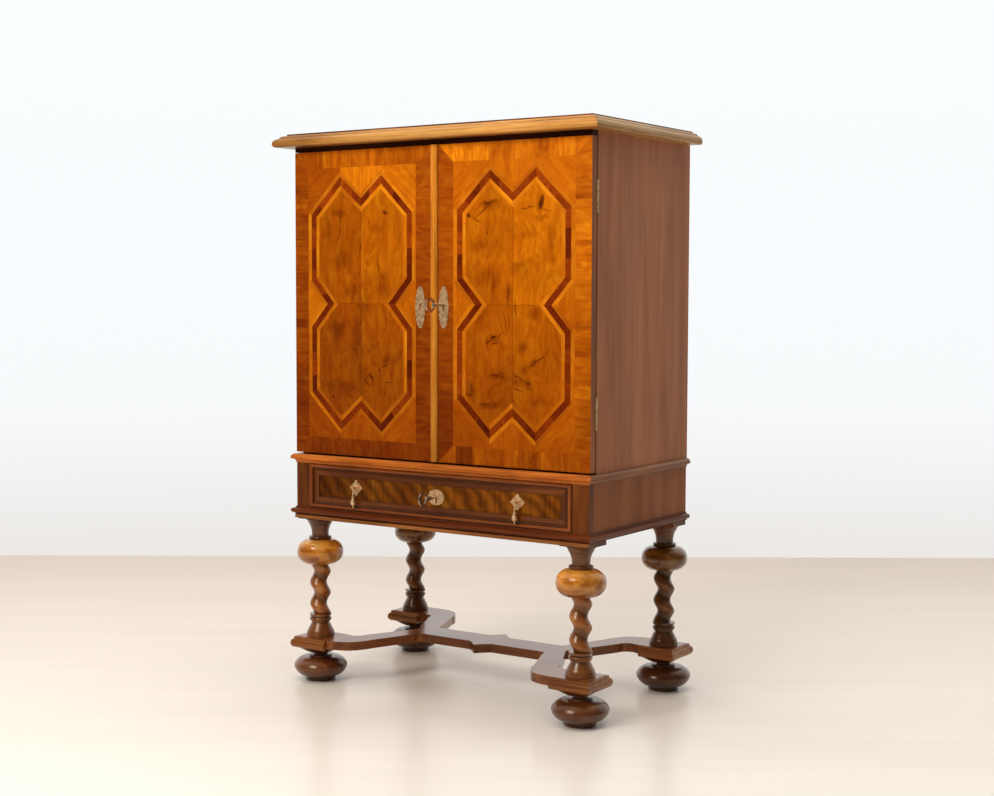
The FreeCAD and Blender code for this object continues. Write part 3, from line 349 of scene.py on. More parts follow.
# The nose is darker towards its left end as painted shade, and its right side is greyer and
# bluer as a painted sheen.
top_nose = wood("top_nose", rgb(150, 92, 34), rgb(190, 130, 58), rgb(214, 158, 84),
                axis="x", scale=2.4, cloud=0.16, mitre=case_mitre, painted_side_light=(0.8, 0.95, 1.4),
                drift=[("x", 0.76, 1.0, -0.47, 0.0)])
top_wood = wood("top_board", rgb(92, 52, 26), rgb(126, 76, 42), rgb(150, 98, 58), axis="x")
# The frieze rail's near-black colour is painted shade: it stands for the shadow under the
# overhanging top.
frieze_painted_shade = wood("frieze", rgb(26, 8, 2), rgb(40, 14, 4), rgb(56, 22, 6), axis="x",
                   sheen=0.1, coat=0.0)
# The waist moulding's right side is much darker and a little bluer: painted shade on the
# side away from the light.
waist_wood = wood("waist_moulding", rgb(160, 78, 18), rgb(194, 104, 30), rgb(222, 132, 46),
                  axis="x", mitre=stand_mitre, painted_side_light=(0.38, 0.42, 0.7), sheen=0.25,
                  coat=0.15)
# The base moulding's right side is a little darker and bluer: painted shade and sheen.
base_wood = wood("base_moulding", rgb(84, 34, 9), rgb(103, 44, 11), rgb(126, 60, 18),
                 axis="x", mitre=stand_mitre, painted_side_light=(0.85, 0.95, 1.2), sheen=0.15,
                 coat=0.1)
lip_wood = wood("lip", rgb(120, 68, 28), rgb(156, 94, 44), rgb(184, 118, 60), axis="x")

# %% Drawer, doors, legs and inside
trim_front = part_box("drawer_moulding")[0].y
# The drawer's mouldings are lighter at their front and darker in their recesses: painted
# highlight and painted shade.
drawer_trim = wood("drawer_trim", rgb(92, 40, 12), rgb(120, 58, 19), rgb(150, 82, 32),
                   axis="x", scale=3.0, gloss=0.26, sheen=0.2, coat=0.25,
                   mitre=drawer_mitre, pore=0.3,
                   drift=[("y", 1.2, 0.45, trim_front, trim_front + 0.006)])
# The drawer's field grows lighter to the right: painted light.
drawer_field = wood("drawer_field", rgb(84, 38, 5), rgb(108, 56, 8), rgb(132, 78, 14),
                    scale=1.6, cloud=0.16, figure=0.34, gloss=0.3, sheen=0.1, coat=0.0,
                    drift=[("x", 0.8, 1.2, -0.3, 0.1)])
door_wood = wood("door_core", rgb(120, 70, 40), rgb(144, 88, 54), rgb(160, 102, 66),
                 sheen=0.15, coat=0.0)
# The astragal grows darker towards the floor: painted shade, where less of the lamps' light
# reaches.
strip_wood = wood("door_strip", rgb(176, 98, 20), rgb(212, 128, 34), rgb(234, 156, 58),
                  cloud=0.1, gloss=0.28, sheen=0.2, coat=0.1,
                  drift=[("z", 0.62, 1.0, 0.62, 1.2)])


def to_back(tone):
    """Drift towards the back legs, which stand in the shade of the stand."""
    return ("y", 1.0, tone, -0.12, 0.2)


# Painted shade on the legs: the back legs are darker, the vases below the twists are darker,
# and so are the hollows near each leg's axis.
turned = wood("turned_legs", rgb(126, 66, 26), rgb(158, 90, 39), rgb(186, 120, 60),
              gloss=0.28, sheen=0.4, coat=0.5, pore=0.4,
              drift=[to_back(0.42), ("z", 0.56, 1.0, 0.166, 0.186)],
              hollows=(0.4, 0.0165, 0.0245))
# Painted shade on the feet: the back feet are darker, and each foot is darker towards the
# floor.
dark_turned = wood("bun_feet", rgb(62, 28, 11), rgb(92, 47, 20), rgb(120, 68, 34),
                   scale=4.0, axis="x", gloss=0.28, sheen=0.4, coat=0.5, pore=0.4,
                   drift=[to_back(0.6), ("z", 0.72, 1.08, 0.012, 0.046)])
# Painted light on the balls: lighter on top and darker underneath, and darker at the back
# legs.
burr = wood("leg_balls", rgb(136, 58, 10), rgb(198, 118, 30), rgb(230, 164, 72), axis="x",
            scale=5.0, cloud=0.3, gloss=0.22, sheen=0.4, coat=0.8, figure=0.12, pore=0.3,
            drift=[to_back(0.26), ("z", 0.58, 1.14, 0.304, 0.345)])
board_wood = wood("stretcher", rgb(76, 36, 13), rgb(106, 53, 20), rgb(134, 74, 34),
                  axis="x", gloss=0.2, sheen=0.35, coat=0.3)
end_wood = wood("stretcher_ends", rgb(90, 44, 18), rgb(120, 64, 28), rgb(148, 86, 44),
                axis="y", gloss=0.2, sheen=0.35, coat=0.3)
edge_wood = wood("corner_mouldings", rgb(108, 56, 20), rgb(140, 80, 32), rgb(168, 104, 46),
                 axis="x", scale=4.0, coat=0.3)
rail_wood = wood("stand_rail", rgb(58, 25, 8), rgb(90, 42, 14), rgb(120, 60, 24), axis="x")
softwood = {axis: wood("softwood_" + axis, rgb(142, 98, 56), rgb(162, 118, 70),
                       rgb(180, 136, 86), axis=axis, cloud=0.08, gloss=0.55, coat=0.0,
                       sheen=0.2)
            for axis in "xyz"}

# %% [markdown]
# ## Brass and steel
# The plates, pendants and hinges are old brass, bright on the raised parts and brown in the
# hollows, and the lock cases are dull steel. Metal has no colour of its own in a dim room,
# so a little of the tarnish is given as plain surface: the metal is not quite full metal.

# %% Aged metal
TARNISH_GRAIN, RELIEF_GRAIN, RELIEF_DEPTH = 170.0, 320.0, 0.0006


def metal(name, dark, light, rough, relief=0.0, full=0.75):
    """Aged metal with tarnish in cloudy patches; full is 1 for metal without tarnish."""
    tree = Finish(name)
    patches = tree.noise(tree.place, TARNISH_GRAIN, 4.0, 0.4)
    tree.surface(Base_Color=tree.ramp(patches, [(0.3, dark), (0.62, light)]), Metallic=full,
                 Roughness=tree.spread(patches, rough + 0.12, rough - 0.08))
    tree.bump(tree.noise(tree.place, RELIEF_GRAIN, 2.0), relief, RELIEF_DEPTH)
    print("metal:", name)
    return tree.material


brass = metal("aged_brass", rgb(170, 126, 82), rgb(238, 198, 150), 0.34, 0.3)
hinge_brass = metal("hinge_brass", rgb(170, 136, 84), rgb(240, 212, 158), 0.4, 0.1)
steel = metal("old_steel", rgb(60, 52, 46), rgb(150, 136, 122), 0.38, 0.15, 1.0)
key_metal = metal("key_metal", rgb(84, 72, 54), rgb(196, 176, 148), 0.3, 0.15, 0.85)

# %% [markdown]
# ## Dressing the solid pieces
# A piece that already has its right shape only needs a material in its slot. One table says
# which piece wears which material, so a piece that was forgotten shows at once.

# %% Give each solid piece its material
dressing = {
    case_side: ["case_left_side", "case_right_side"],
    stand_side: ["stand_left_side", "stand_right_side"],
    stiles: ["stand_front_stiles"],
    top_nose: ["top_moulding"],
    top_wood: ["top_board"],
    frieze_painted_shade: ["frieze_rail"],
    waist_wood: ["waist_moulding"],
    base_wood: ["base_moulding"],
    lip_wood: ["stand_bottom_rail"],
    drawer_trim: ["drawer_moulding"],
    drawer_field: ["drawer_front"],
    door_wood: ["left_door", "right_door"],
    strip_wood: ["door_astragal"],
    rail_wood: ["stand_top_rail", "leg_pads"],
    board_wood: ["stretcher_centre", "corner_blocks"],
    end_wood: ["stretcher_left_end", "stretcher_right_end"],
    edge_wood: ["corner_mouldings"],
    turned: [name for name in NODES if name.endswith("_twist_leg")],
    dark_turned: ["leg_collars"] + [name for name in NODES if name.endswith("_bun_foot")],
    burr: ["leg_balls"],
    softwood["x"]: ["case_bottom", "upper_shelf", "lower_shelf", "drawer_back",
                    "stand_back"],
    softwood["y"]: ["shelf_bearers", "drawer_runners", "drawer_sides", "drawer_bottom"],
    softwood["z"]: ["case_back"],
    brass: ["left_escutcheon", "right_escutcheon", "drawer_escutcheon", "handle_plates",
            "left_drop_handle", "right_drop_handle", "left_door_upper_bolt",
            "left_door_lower_bolt"],
    hinge_brass: ["case_hinge_leaves", "left_door_hinge_leaves", "right_door_hinge_leaves"],
    steel: ["door_lock", "door_lock_bolt", "drawer_lock", "drawer_lock_bolt"],
    key_metal: ["door_key", "drawer_key"],
}
for material, names in dressing.items():
    for name in names:
        NODES[name].data.materials.clear()
        NODES[name].data.materials.append(material)
bare = set(NODES) - {name for names in dressing.values() for name in names}
print("dressed", len(NODES) - len(bare), "pieces, left bare:", sorted(bare))

# %% [markdown]
# ## Door veneer
# Each door is inlaid: a figured middle in four quarters, inside a light, a dark and a
# second light band, with corner pieces outside them and a cross-grained border round it
# all. It could be painted on with a mask, but real slips catch the light differently and
# have sharp joints, so every slip is cut as its own closed plate, 0.6 mm thick. All bands
# follow one zigzag line, and parallel lines are found by moving each side and meeting its
# neighbours, as a marquetry cutter does with a gauge.

# %% Lines of the pattern, in metres from the middle of the panel
VALLEY, WAIST = 0.259, 0.106
QUARTER = [(0.064, 0.314), (0.1575, 0.222), (0.1575, 0.058)]
LIGHT_WIDTH, DARK_WIDTH = 0.0095, 0.0156
PANEL_HALF, PANEL_HIGH, PANEL_MIDDLE = 0.1685, 0.336, 0.966
BORDER = 0.0425
SEAM = 0.0005


def mirrored(quarter, valley, waist):
    """The closed line whose upper right quarter is given, clockwise from its top valley."""
    line = []
    for right, top in ((1, 1), (1, -1), (-1, -1), (-1, 1)):
        corner = [(right * u, top * w) for u, w in quarter]
        if right == top:
            line += [(0, top * valley)] + corner
        else:
            line += [(right * waist, 0)] + corner[::-1]
    return line


def parallel(line, distance):
    """The closed line moved inwards by a distance, with mitred corners."""
    moved = []
    count = len(line)
    for i in range(count):
        before, here, after = (Vector(line[(i + k) % count]) for k in (-1, 0, 1))
        sides = []
        for start, end in ((before, here), (here, after)):
            step = (end - start).normalized()
            inward = Vector((step.y, -step.x)) * distance
            sides.append((start + inward - step, end + inward + step))
        meeting = intersect_line_line_2d(*sides[0], *sides[1])
        moved.append(tuple(meeting))
    return moved


def between(a, b, share):
    """The point at a share of the way from a to b."""
    return (a[0] + (b[0] - a[0]) * share, a[1] + (b[1] - a[1]) * share)


dark_line = mirrored(QUARTER, VALLEY, WAIST)
outer_light = parallel(dark_line, -LIGHT_WIDTH)
dark_inner = parallel(dark_line, DARK_WIDTH)
light_inner = parallel(dark_line, DARK_WIDTH + LIGHT_WIDTH)
print("pattern line has", len(dark_line), "corners")

# %% [markdown]
# ## Cutting the slips
# A slip is (outline, grain angle, kind, tone). The bands are cut between two parallel
# lines, the light ones in one length a side and the dark one in short cross-grained blocks
# of changing tone. The middle is four quarters with a thin dark string let in between them,
# because on the real doors the seams show as dark lines.

# %% Cut the bands and the middle
LONG_SLIP, BLOCK = (0.2, 0.3), (0.026, 0.06)


def band(outer, inner, kind, lengths, across, tones, chance):
    """Slips between two lines; lengths gives the shortest and the longest block."""
    pieces = []
    for i in range(len(outer)):
        j = (i + 1) % len(outer)
        run = math.dist(outer[i], outer[j])
        cuts = [0.0]
        while cuts[-1] < 1:
            step = cuts[-1] + chance.uniform(*lengths) / run
            cuts.append(step if step < 1 - lengths[0] / run else 1.0)
        angle = math.atan2(outer[j][1] - outer[i][1], outer[j][0] - outer[i][0])
        for a, b in zip(cuts, cuts[1:]):
            quad = [between(line[i], line[j], share) for line, share in
                    ((outer, a), (outer, b), (inner, b), (inner, a))]
            pieces.append((quad, angle + (math.pi / 2 if across else 0), kind,
                           chance.uniform(*tones)))
    return pieces


def quarters(line, kind, tones):
    """The middle in four, with strings between them.

    The tones are those of the upper right, lower right, lower left and upper left.
    """
    pieces = []
    for (right, top), tone in zip(((1, 1), (1, -1), (-1, -1), (-1, 1)), tones):
        outline = [(right * SEAM, top * SEAM)]
        for u, w in line[:5]:
            outline.append((right * max(u, SEAM), top * max(w, SEAM)))
        pieces.append((outline, math.pi / 2, kind, tone))
    reach, high = line[4][0], line[0][1]
    lines = [[(-SEAM, -high), (SEAM, -high), (SEAM, high), (-SEAM, high)]]
    lines += [[(hand * SEAM, -SEAM), (hand * reach, -SEAM), (hand * reach, SEAM),
               (hand * SEAM, SEAM)] for hand in (1, -1)]
    return pieces + [(outline, 0.0, "string", 1.0) for outline in lines]


print("dark blocks in a ring:", len(band(dark_line, dark_inner, "dark", BLOCK, True, (1, 1),
                                         random.Random(1))))

# %% Cut the corner pieces
CORNER_GRAIN = math.radians(-42)


def spandrels(tones, chance):
    """Pieces between the outer light band and the border.

    The tones are those of the top piece, its right and left corners, the bottom piece, its
    right and left corners, and the right and left waist pieces.
    """
    tones = iter(tones)
    valley, peak, shoulder, waist, vertex = outer_light[:5]
    high, half = PANEL_HIGH, PANEL_HALF
    top = [(-peak[0], high), (peak[0], high), peak, valley, (-peak[0], peak[1])]
    corner = [(peak[0], high), (half, high), (half, shoulder[1]), shoulder, peak]
    side = [(half, waist[1]), (half, -waist[1]), (waist[0], -waist[1]), vertex, waist]
    strip = [(half, shoulder[1]), (half, waist[1]), waist, shoulder]
    pieces = []
    for flip in (1, -1):
        pieces.append(([(u, w * flip) for u, w in top], math.pi / 2, "corner", next(tones)))
        for hand in (1, -1):
            turned_corner = [(u * hand, w * flip) for u, w in corner]
            pieces.append((turned_corner, CORNER_GRAIN * hand * flip, "corner",
                           next(tones)))
            thin = [(u * hand, w * flip) for u, w in strip]
            pieces.append((thin, math.pi / 2, "light", chance.uniform(0.86, 0.96)))
    for hand in (1, -1):
        pieces.append(([(u * hand, w) for u, w in side], math.pi / 2, "corner",
                       next(tones)))
    return pieces


print("corner pieces a door:", len(spandrels([1.0] * 8, random.Random(1))))

# %% Cut the border
def border(left, right, low, high, cuts):
    """Cross-grained border; cuts = four sides of (places along the side, tones)."""
    inner = [(-PANEL_HALF, -PANEL_HIGH), (PANEL_HALF, -PANEL_HIGH),
             (PANEL_HALF, PANEL_HIGH), (-PANEL_HALF, PANEL_HIGH)]
    outer = [(left, low), (right, low), (right, high), (left, high)]
    pieces = []
    for i, (places, tones) in enumerate(cuts):
        j = (i + 1) % 4
        level = i % 2 == 0
        start, end = inner[i][0 if level else 1], inner[j][0 if level else 1]
        if start > end:
            places, tones = places[::-1], tones[::-1]
        marks = [start] + list(places) + [end]
        edge, rim = (outer[i][1], inner[i][1]) if level else (outer[i][0], inner[i][0])
        for k, tone in enumerate(tones):
            a, b = marks[k], marks[k + 1]
            outside = [a, b]
            if k == 0:
                outside[0] = outer[i][0 if level else 1]
            if k == len(tones) - 1:
                outside[1] = outer[j][0 if level else 1]
            quad = [(outside[0], edge), (outside[1], edge), (b, rim), (a, rim)]
            if not level:
                quad = [(u, w) for w, u in quad]
            pieces.append((quad, math.pi / 2 if level else 0.0, "border", tone))
    return pieces


print("border of", BORDER * 1000, "mm, mitred at its four corners")

# %% [markdown]
# ## Where the wood is marked
# The middle of each door is cut from burr and crotch wood, whose knots, curls and brown
# clouds are what the eye remembers. Noise alone would put them anywhere, so the big ones
# are listed by place, in millimetres from the cabinet's middle and up from the floor, with
# their half width, half height and turn. In the material, noise bends them and frays their
# rims.

# %% Knots, dark lines and clouds
KNOTS = {
    "right": [(301, 1200, 6, 15, 0), (98, 1175, 6, 5, 30), (171, 889, 6, 2.5, -25)],
    "left": [(-149, 1188, 7, 4, 10), (-246, 854, 2, 2.5, 0), (-314, 735, 3, 4, 0)],
}
LINES = {
    "right": [(158, 1203, 32, 6.5, -8), (268, 1188, 30, 2.2, -6), (318, 1184, 14, 2.0, 18),
              (124, 1164, 30, 2.4, 26), (136, 1183, 40, 3.0, -30),
              (160, 1204, 30, 2.6, 10), (150, 1133, 3, 7, 0),
              (158, 880, 14, 2.4, -24), (188, 895, 11, 2.4, -40), (178, 878, 16, 2.6, -12),
              (208, 985, 2.0, 34, 8), (203, 930, 2.4, 30, -16), (232, 960, 2.0, 40, -6),
              (262, 787, 24, 3.4, 22), (274, 776, 16, 2.2, 6), (300, 842, 40, 2.4, -30),
              (280, 826, 30, 2.2, -38), (242, 802, 30, 2.4, 26), (240, 770, 26, 2.2, 18),
              (176, 800, 26, 2.0, 8), (107, 770, 2.6, 15, 8), (104, 753, 9, 2.8, 0),
              (120, 800, 14, 2.0, -30), (318, 860, 20, 2.0, -36), (150, 735, 26, 2.0, -12)],
    "left": [(-206, 772, 15, 2.6, 40), (-190, 788, 20, 2.4, 30), (-164, 800, 2.4, 14, -30),
             (-150, 813, 15, 2.2, -20), (-176, 820, 13, 2.2, 35), (-150, 749, 2.0, 10, 0),
             (-228, 1100, 1.8, 26, 0), (-140, 776, 13, 2.0, 10), (-260, 740, 12, 2.0, 20),
             (-196, 850, 2.0, 20, 30), (-290, 1150, 1.8, 44, 4), (-170, 1060, 1.8, 44, -4)],
}
CLOUDS = {
    "right": [(168, 1198, 46, 15, -10), (128, 1104, 34, 30, 0), (245, 1056, 48, 28, 0),
              (300, 1166, 34, 9, 0), (160, 1030, 42, 34, 0), (212, 990, 14, 40, 0),
              (173, 886, 28, 15, -20), (250, 866, 20, 20, 0), (296, 746, 44, 16, 0),
              (240, 786, 50, 16, 20), (106, 764, 20, 30, 0), (161, 730, 50, 12, 0),
              (182, 799, 26, 12, 0), (262, 822, 56, 11, -30), (330, 1100, 14, 70, 0),
              (286, 944, 30, 26, 0), (130, 940, 30, 26, 0), (262, 1130, 40, 14, 0)],
    "left": [(-282, 1071, 40, 30, 0), (-217, 958, 30, 44, 0), (-248, 998, 34, 24, 0),
             (-134, 829, 34, 18, 0), (-205, 790, 38, 22, 20), (-170, 1150, 24, 18, 0),
             (-236, 900, 20, 66, 0), (-330, 1150, 16, 56, 0), (-290, 760, 44, 26, 0),
             (-300, 900, 30, 40, 0), (-160, 1010, 30, 40, 0), (-300, 1190, 30, 14, 0)],
}
print("marks on the doors:", sum(len(marks[side]) for marks in (KNOTS, LINES, CLOUDS)
                                 for side in marks))

# %% [markdown]
# ## Veneer materials
# One recipe colours every kind of slip. It reads the slip's own grain coordinates from a
# UV map and its tone from an attribute, so neighbouring slips differ as cut wood does. Near
# a knot the growth rings curl round it.

# %% Nearness to the marks
WAVES, PUSH = 38.0, 0.018


def nearness(tree, spots, fray, fine=95.0):
    """Distance to the nearest mark: 0 in its middle, 1 on its rim, frayed by noise."""
    near = None
    place = tree.bent(tree.place, WAVES, PUSH)
    for u, w, wide, tall, turn in spots:
        spot = tree.mapped(place, (wide / 1000, 1000.0, tall / 1000),
                           (u / 1000, 0.0, w / 1000), (0, math.radians(turn), 0), "TEXTURE")
        here = tree.node("ShaderNodeVectorMath", {0: spot},
                         operation="LENGTH").outputs["Value"]
        near = here if near is None else tree.math("MINIMUM", near, here)
    wobble = tree.spread(tree.noise(tree.place, fine), -fray, fray)
    return tree.math("ADD", near, wobble)


def marked(tree, side, blend, colour_of):
    """Curl the rings round the knots, then lay clouds, lines and knots over the colour."""
    knots = nearness(tree, KNOTS[side], 0.35)
    rings = tree.math("SINE", tree.math("MULTIPLY", knots, 6.0))
    fade = tree.spread(knots, 0.05, 0.0, 1.0, 5.0)
    colour = colour_of(tree.math("ADD", blend, tree.math("MULTIPLY", rings, fade)))
    clouds = tree.ramp(nearness(tree, CLOUDS[side], 0.8, 42.0),
                       [(0.0, (0.64, 0.54, 0.42)), (0.5, (0.8, 0.74, 0.66)),
                        (1.0, (1, 1, 1))])
    lines = tree.ramp(nearness(tree, LINES[side], 0.4),
                      [(0.2, (0.34, 0.22, 0.14)), (1.0, (1, 1, 1))])
    cores = tree.ramp(tree.math("MULTIPLY", knots, 0.5),
                      [(0.0, (0.12, 0.1, 0.06)), (0.36, (0.3, 0.2, 0.12)),
                       (0.6, (0.8, 0.7, 0.6)), (0.9, (1, 1, 1))])
    return tree.layered(colour, clouds, lines, cores)


print("marks can be laid on", " and ".join(KNOTS))

# %% [markdown]
# ## Tone and painted falloff
# A dark slip isn't a light one in the shade: old varnish makes it redder, so the tone acts
# more on green than on red. The doors are also painted lighter at the top and darker towards
# the floor, as painted light falling off from the lamps. One tone for each slip and one slow
# ramp over the height give both.

# %% Tone and painted falloff
def reddened(tree, tone):
    """A tone as a colour: dark slips are redder and light ones yellower."""
    powers = {"Red": 1.0, "Green": 1.5, "Blue": 1.1}
    return tree.node("ShaderNodeCombineColor", {
        channel: tree.math("POWER", tone, power) for channel, power in powers.items()
    }).outputs[0]


def painted_falloff(tree):
    """Painted light: the doors lighter at the top and darker towards the floor."""
    height = tree.spread(tree.split(tree.place)[2], 0.0, 1.0, 0.6, 1.34)
    return tree.ramp(height, [(0.0, (0.64, 0.56, 0.5)), (0.5, (0.84, 0.81, 0.8)),
                              (1.0, (1.0, 1.02, 1.0))])


# The reddened slips are the veneer's own tone; the lighter tops are painted light.
print("old polish: reddened slips, faded tops")

# %% Veneer shader
DOOR_TINT = (1.0, 0.55, 0.2)


def veneer(name, dark, mid, light, streak=1.0, cloud=0.13, side=None, burr_share=0.5,
           calm=0.18):
    """One kind of slip; calm widens the step between its dark and its light streaks."""
    tree = Finish(name)
    uv = tree.node("ShaderNodeUVMap", uv_map="grain").outputs[0]
    tone = tree.node("ShaderNodeAttribute", attribute_name="tone").outputs["Fac"]
    streaks = tree.noise(tree.mapped(uv, (8.0 * streak, 80.0 * streak, 1.0)), 1.0, 4.0, 0.8)
    curls = tree.noise(tree.mapped(uv, (14.0, 30.0, 1.0)), 1.0, 4.0, 2.2)
    blend = tree.math("ADD", tree.math("MULTIPLY", streaks, 1 - burr_share),
                      tree.math("MULTIPLY", curls, burr_share))

    def colour_of(value):
        return tree.ramp(value, [(0.5 - calm, dark), (0.5, mid), (0.5 + calm, light)])

    colour = marked(tree, side, blend, colour_of) if side else colour_of(blend)
    slow = tree.noise(tree.mapped(tree.place, (1, 1, 0.7)), 11.0, 2.0, 0.6)
    colour = tree.layered(colour, tree.spread(slow, 1 - 2 * cloud, 1 + 2 * cloud),
                          reddened(tree, tone), painted_falloff(tree))
    tree.surface(Base_Color=colour, Roughness=tree.spread(curls, 0.3, 0.45))
    tree.polish(0.14, 0.0, DOOR_TINT)
    tree.bump(streaks, 0.08, 0.0003)
    return tree.material


FIELD = (rgb(154, 68, 2), rgb(192, 100, 3), rgb(214, 132, 9))
veneers = {side + "_field": veneer("veneer_" + side + "_field", *FIELD, side=side,
                                   burr_share=0.7, calm=0.26, streak=0.8)
           for side in ("left", "right")}
veneers.update({
    "corner": veneer("veneer_corner", rgb(178, 82, 3), rgb(200, 102, 5), rgb(216, 122, 12)),
    "light": veneer("veneer_light", rgb(186, 92, 6), rgb(208, 114, 12), rgb(228, 140, 24),
                    cloud=0.12),
    "dark": veneer("veneer_dark", rgb(124, 42, 3), rgb(148, 56, 4), rgb(168, 72, 6),
                   streak=1.6),
    "string": veneer("veneer_string", rgb(84, 34, 4), rgb(104, 44, 6), rgb(120, 56, 8)),
    "border": veneer("veneer_border", rgb(154, 66, 3), rgb(186, 92, 6), rgb(210, 120, 14)),
})
KINDS = list(veneers)
print("veneer kinds:", ", ".join(KINDS))

# %% [markdown]
# ## Laying the veneer
# Each slip is pushed out from the door's face as a thin closed plate, and all slips of one
# door are one mesh with a material for each kind. The border's cuts follow the real doors:
# short pieces on three sides, and one long reddish run beside the lock. The tones are partly
# the slips' own and partly painted shade: most slips of the left door are darker than those
# of the right. The four sides of a door are listed as bottom, right, top and left, with the
# places of the cuts in millimetres and the tones of the slips between them.

# %% Border cuts of the two doors
RIGHT_BORDER = [
    ([64, 112, 144, 204, 241, 302, 342], [1.1, 0.6, 1.05, 0.86, 1.12, 0.92, 1.2, 1.1]),
    ([753, 786, 816, 850, 863, 912, 921, 944, 1098, 1113, 1205, 1242],
     [0.96, 1.14, 0.9, 1.08, 0.8, 1.08, 0.76, 1.1, 1.16, 0.94, 1.1, 0.86, 0.98]),
    ([156, 225, 284, 324], [1.42, 0.98, 1.12, 0.9, 1.2]),
    ([760, 900, 1060, 1200], [0.56, 0.64, 0.72, 0.76, 0.66]),
]
LEFT_BORDER = [
    ([-352, -327, -256, -192, -160, -105], [0.62, 0.54, 0.66, 0.6, 0.66, 0.58, 0.62]),
    ([770, 960, 1180], [0.58, 0.6, 0.66, 0.74]),
    ([-345, -194, -180], [0.72, 1.0, 1.3, 0.86]),
    ([690, 728, 790, 812, 905, 926, 1010, 1044, 1110, 1135, 1195, 1228, 1262],
     [0.6, 0.5, 0.64, 0.56, 0.72, 0.5, 0.7, 0.58, 0.78, 0.7, 0.66, 0.8, 0.6, 0.74]),
]
print("border slips:", sum(len(tones) for places, tones in RIGHT_BORDER + LEFT_BORDER))

# %% All slips of a door
LIGHT_TONES, DARK_TONES, INNER_TONES = (0.74, 1.2), (0.42, 1.2), (0.8, 1.2)


def door_slips(side, hand, tones, corner_tones, cuts, chance):
    """All slips of a door, in metres from the middle of its panel."""
    low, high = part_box(side + "_door")
    centre = hand * (case_half - BORDER - PANEL_HALF)
    moved = []
    for i, (places, shades) in enumerate(cuts):
        zero = centre if i % 2 == 0 else PANEL_MIDDLE
        moved.append(([place / 1000 - zero for place in places], shades))
    pieces = band(outer_light, dark_line, "light", LONG_SLIP, False, LIGHT_TONES, chance)
    pieces += band(dark_line, dark_inner, "dark", BLOCK, True, DARK_TONES, chance)
    pieces += band(dark_inner, light_inner, "light", LONG_SLIP, False, INNER_TONES, chance)
    pieces += quarters(light_inner, side + "_field", tones)
    pieces += spandrels(corner_tones, chance)
    pieces += border(low.x - centre, high.x - centre, low.z - PANEL_MIDDLE,
                     high.z - PANEL_MIDDLE, moved)
    return centre, low.y, pieces


print("the light bands vary in tone from", LIGHT_TONES[0], "to", LIGHT_TONES[1])

# %% Build one mesh of slips per door
THICK = 0.0006
SHEET = 9.0


def add_slip(build, outline, place, layers, grain):
    """One closed plate; place = (centre, face) and grain = (angle, shift, kind, tone)."""
    centre, face_y = place
    angle, shift, kind, tone = grain
    area = sum(a[0] * b[1] - b[0] * a[1]
               for a, b in zip(outline, outline[1:] + outline[:1]))
    ring = outline if area > 0 else outline[::-1]
    front, back = ([build.verts.new((centre + u, y, PANEL_MIDDLE + w)) for u, w in ring]
                   for y in (face_y - THICK, face_y))
    faces = [build.faces.new(front), build.faces.new(back[::-1])]
    faces += [build.faces.new((a, c, d, b)) for a, b, c, d in
              zip(front, front[1:] + front[:1], back, back[1:] + back[:1])]
    for face in faces:
        face.material_index = KINDS.index(kind)
        face[layers["tone"]] = tone
        for loop in face.loops:
            u, w = loop.vert.co.x - centre, loop.vert.co.z - PANEL_MIDDLE
            loop[layers["grain"]].uv = (
                u * math.cos(angle) + w * math.sin(angle) + shift[0],
                -u * math.sin(angle) + w * math.cos(angle) + shift[1])


def lay_door(side, hand, tones, corner_tones, cuts, seed):
    """One mesh; each slip reads its grain from its own spot on a large sheet."""
    chance = random.Random(seed)
    centre, face_y, pieces = door_slips(side, hand, tones, corner_tones, cuts, chance)
    build = bmesh.new()
    layers = {"grain": build.loops.layers.uv.new("grain"),
              "tone": build.faces.layers.float.new("tone")}
    for outline, angle, kind, tone in pieces:
        shift = (chance.uniform(0, SHEET), chance.uniform(0, SHEET))
        add_slip(build, outline, (centre, face_y), layers, (angle, shift, kind, tone))
    build.normal_update()
    mesh = bpy.data.meshes.new(side + "_door_veneer")
    build.to_mesh(mesh)
    build.free()
    for kind in KINDS:
        mesh.materials.append(veneers[kind])
    slips = bpy.data.objects.new(side + "_door_veneer", mesh)
    bpy.context.collection.objects.link(slips)
    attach(slips, side + "_door")
    print(side, "door:", len(pieces), "slips of veneer")


# The slips' tones are partly their own and partly painted shade: the left door is given
# darker tones than the right, and each middle is darkest at its lower left.
lay_door("right", 1, (1.06, 0.9, 0.82, 0.88),
         (0.96, 0.94, 0.88, 0.88, 0.98, 0.84, 0.9, 0.94), RIGHT_BORDER, 4)
lay_door("left", -1, (0.92, 0.78, 0.68, 0.76),
         (1.2, 1.06, 0.66, 0.84, 0.88, 0.7, 1.02, 1.16), LEFT_BORDER, 9)

# %% [markdown]
# ## Screws, pins and a beaded rim
# Small metalwork repeats: slotted screws hold the hinge leaves, round pins hold the key
# plates, and a bead runs round the oval plate of the drawer. A node tree makes each head
# once and sets it on every point, so a change to one input changes them all. The result is
# turned into a plain mesh for each moving body.

# %% A node tree with named inputs
def new_tree(name, labels):
    """A geometry tree that takes points and numbers, and its inputs by name."""
    group = bpy.data.node_groups.new(name, "GeometryNodeTree")
    group.interface.new_socket("Points", in_out="INPUT", socket_type="NodeSocketGeometry")
    for label in labels:
        group.interface.new_socket(label, in_out="INPUT", socket_type="NodeSocketFloat")
    group.interface.new_socket("Metalwork", in_out="OUTPUT",
                               socket_type="NodeSocketGeometry")
    tree = Tree(group)
    return tree, tree.node("NodeGroupInput").outputs


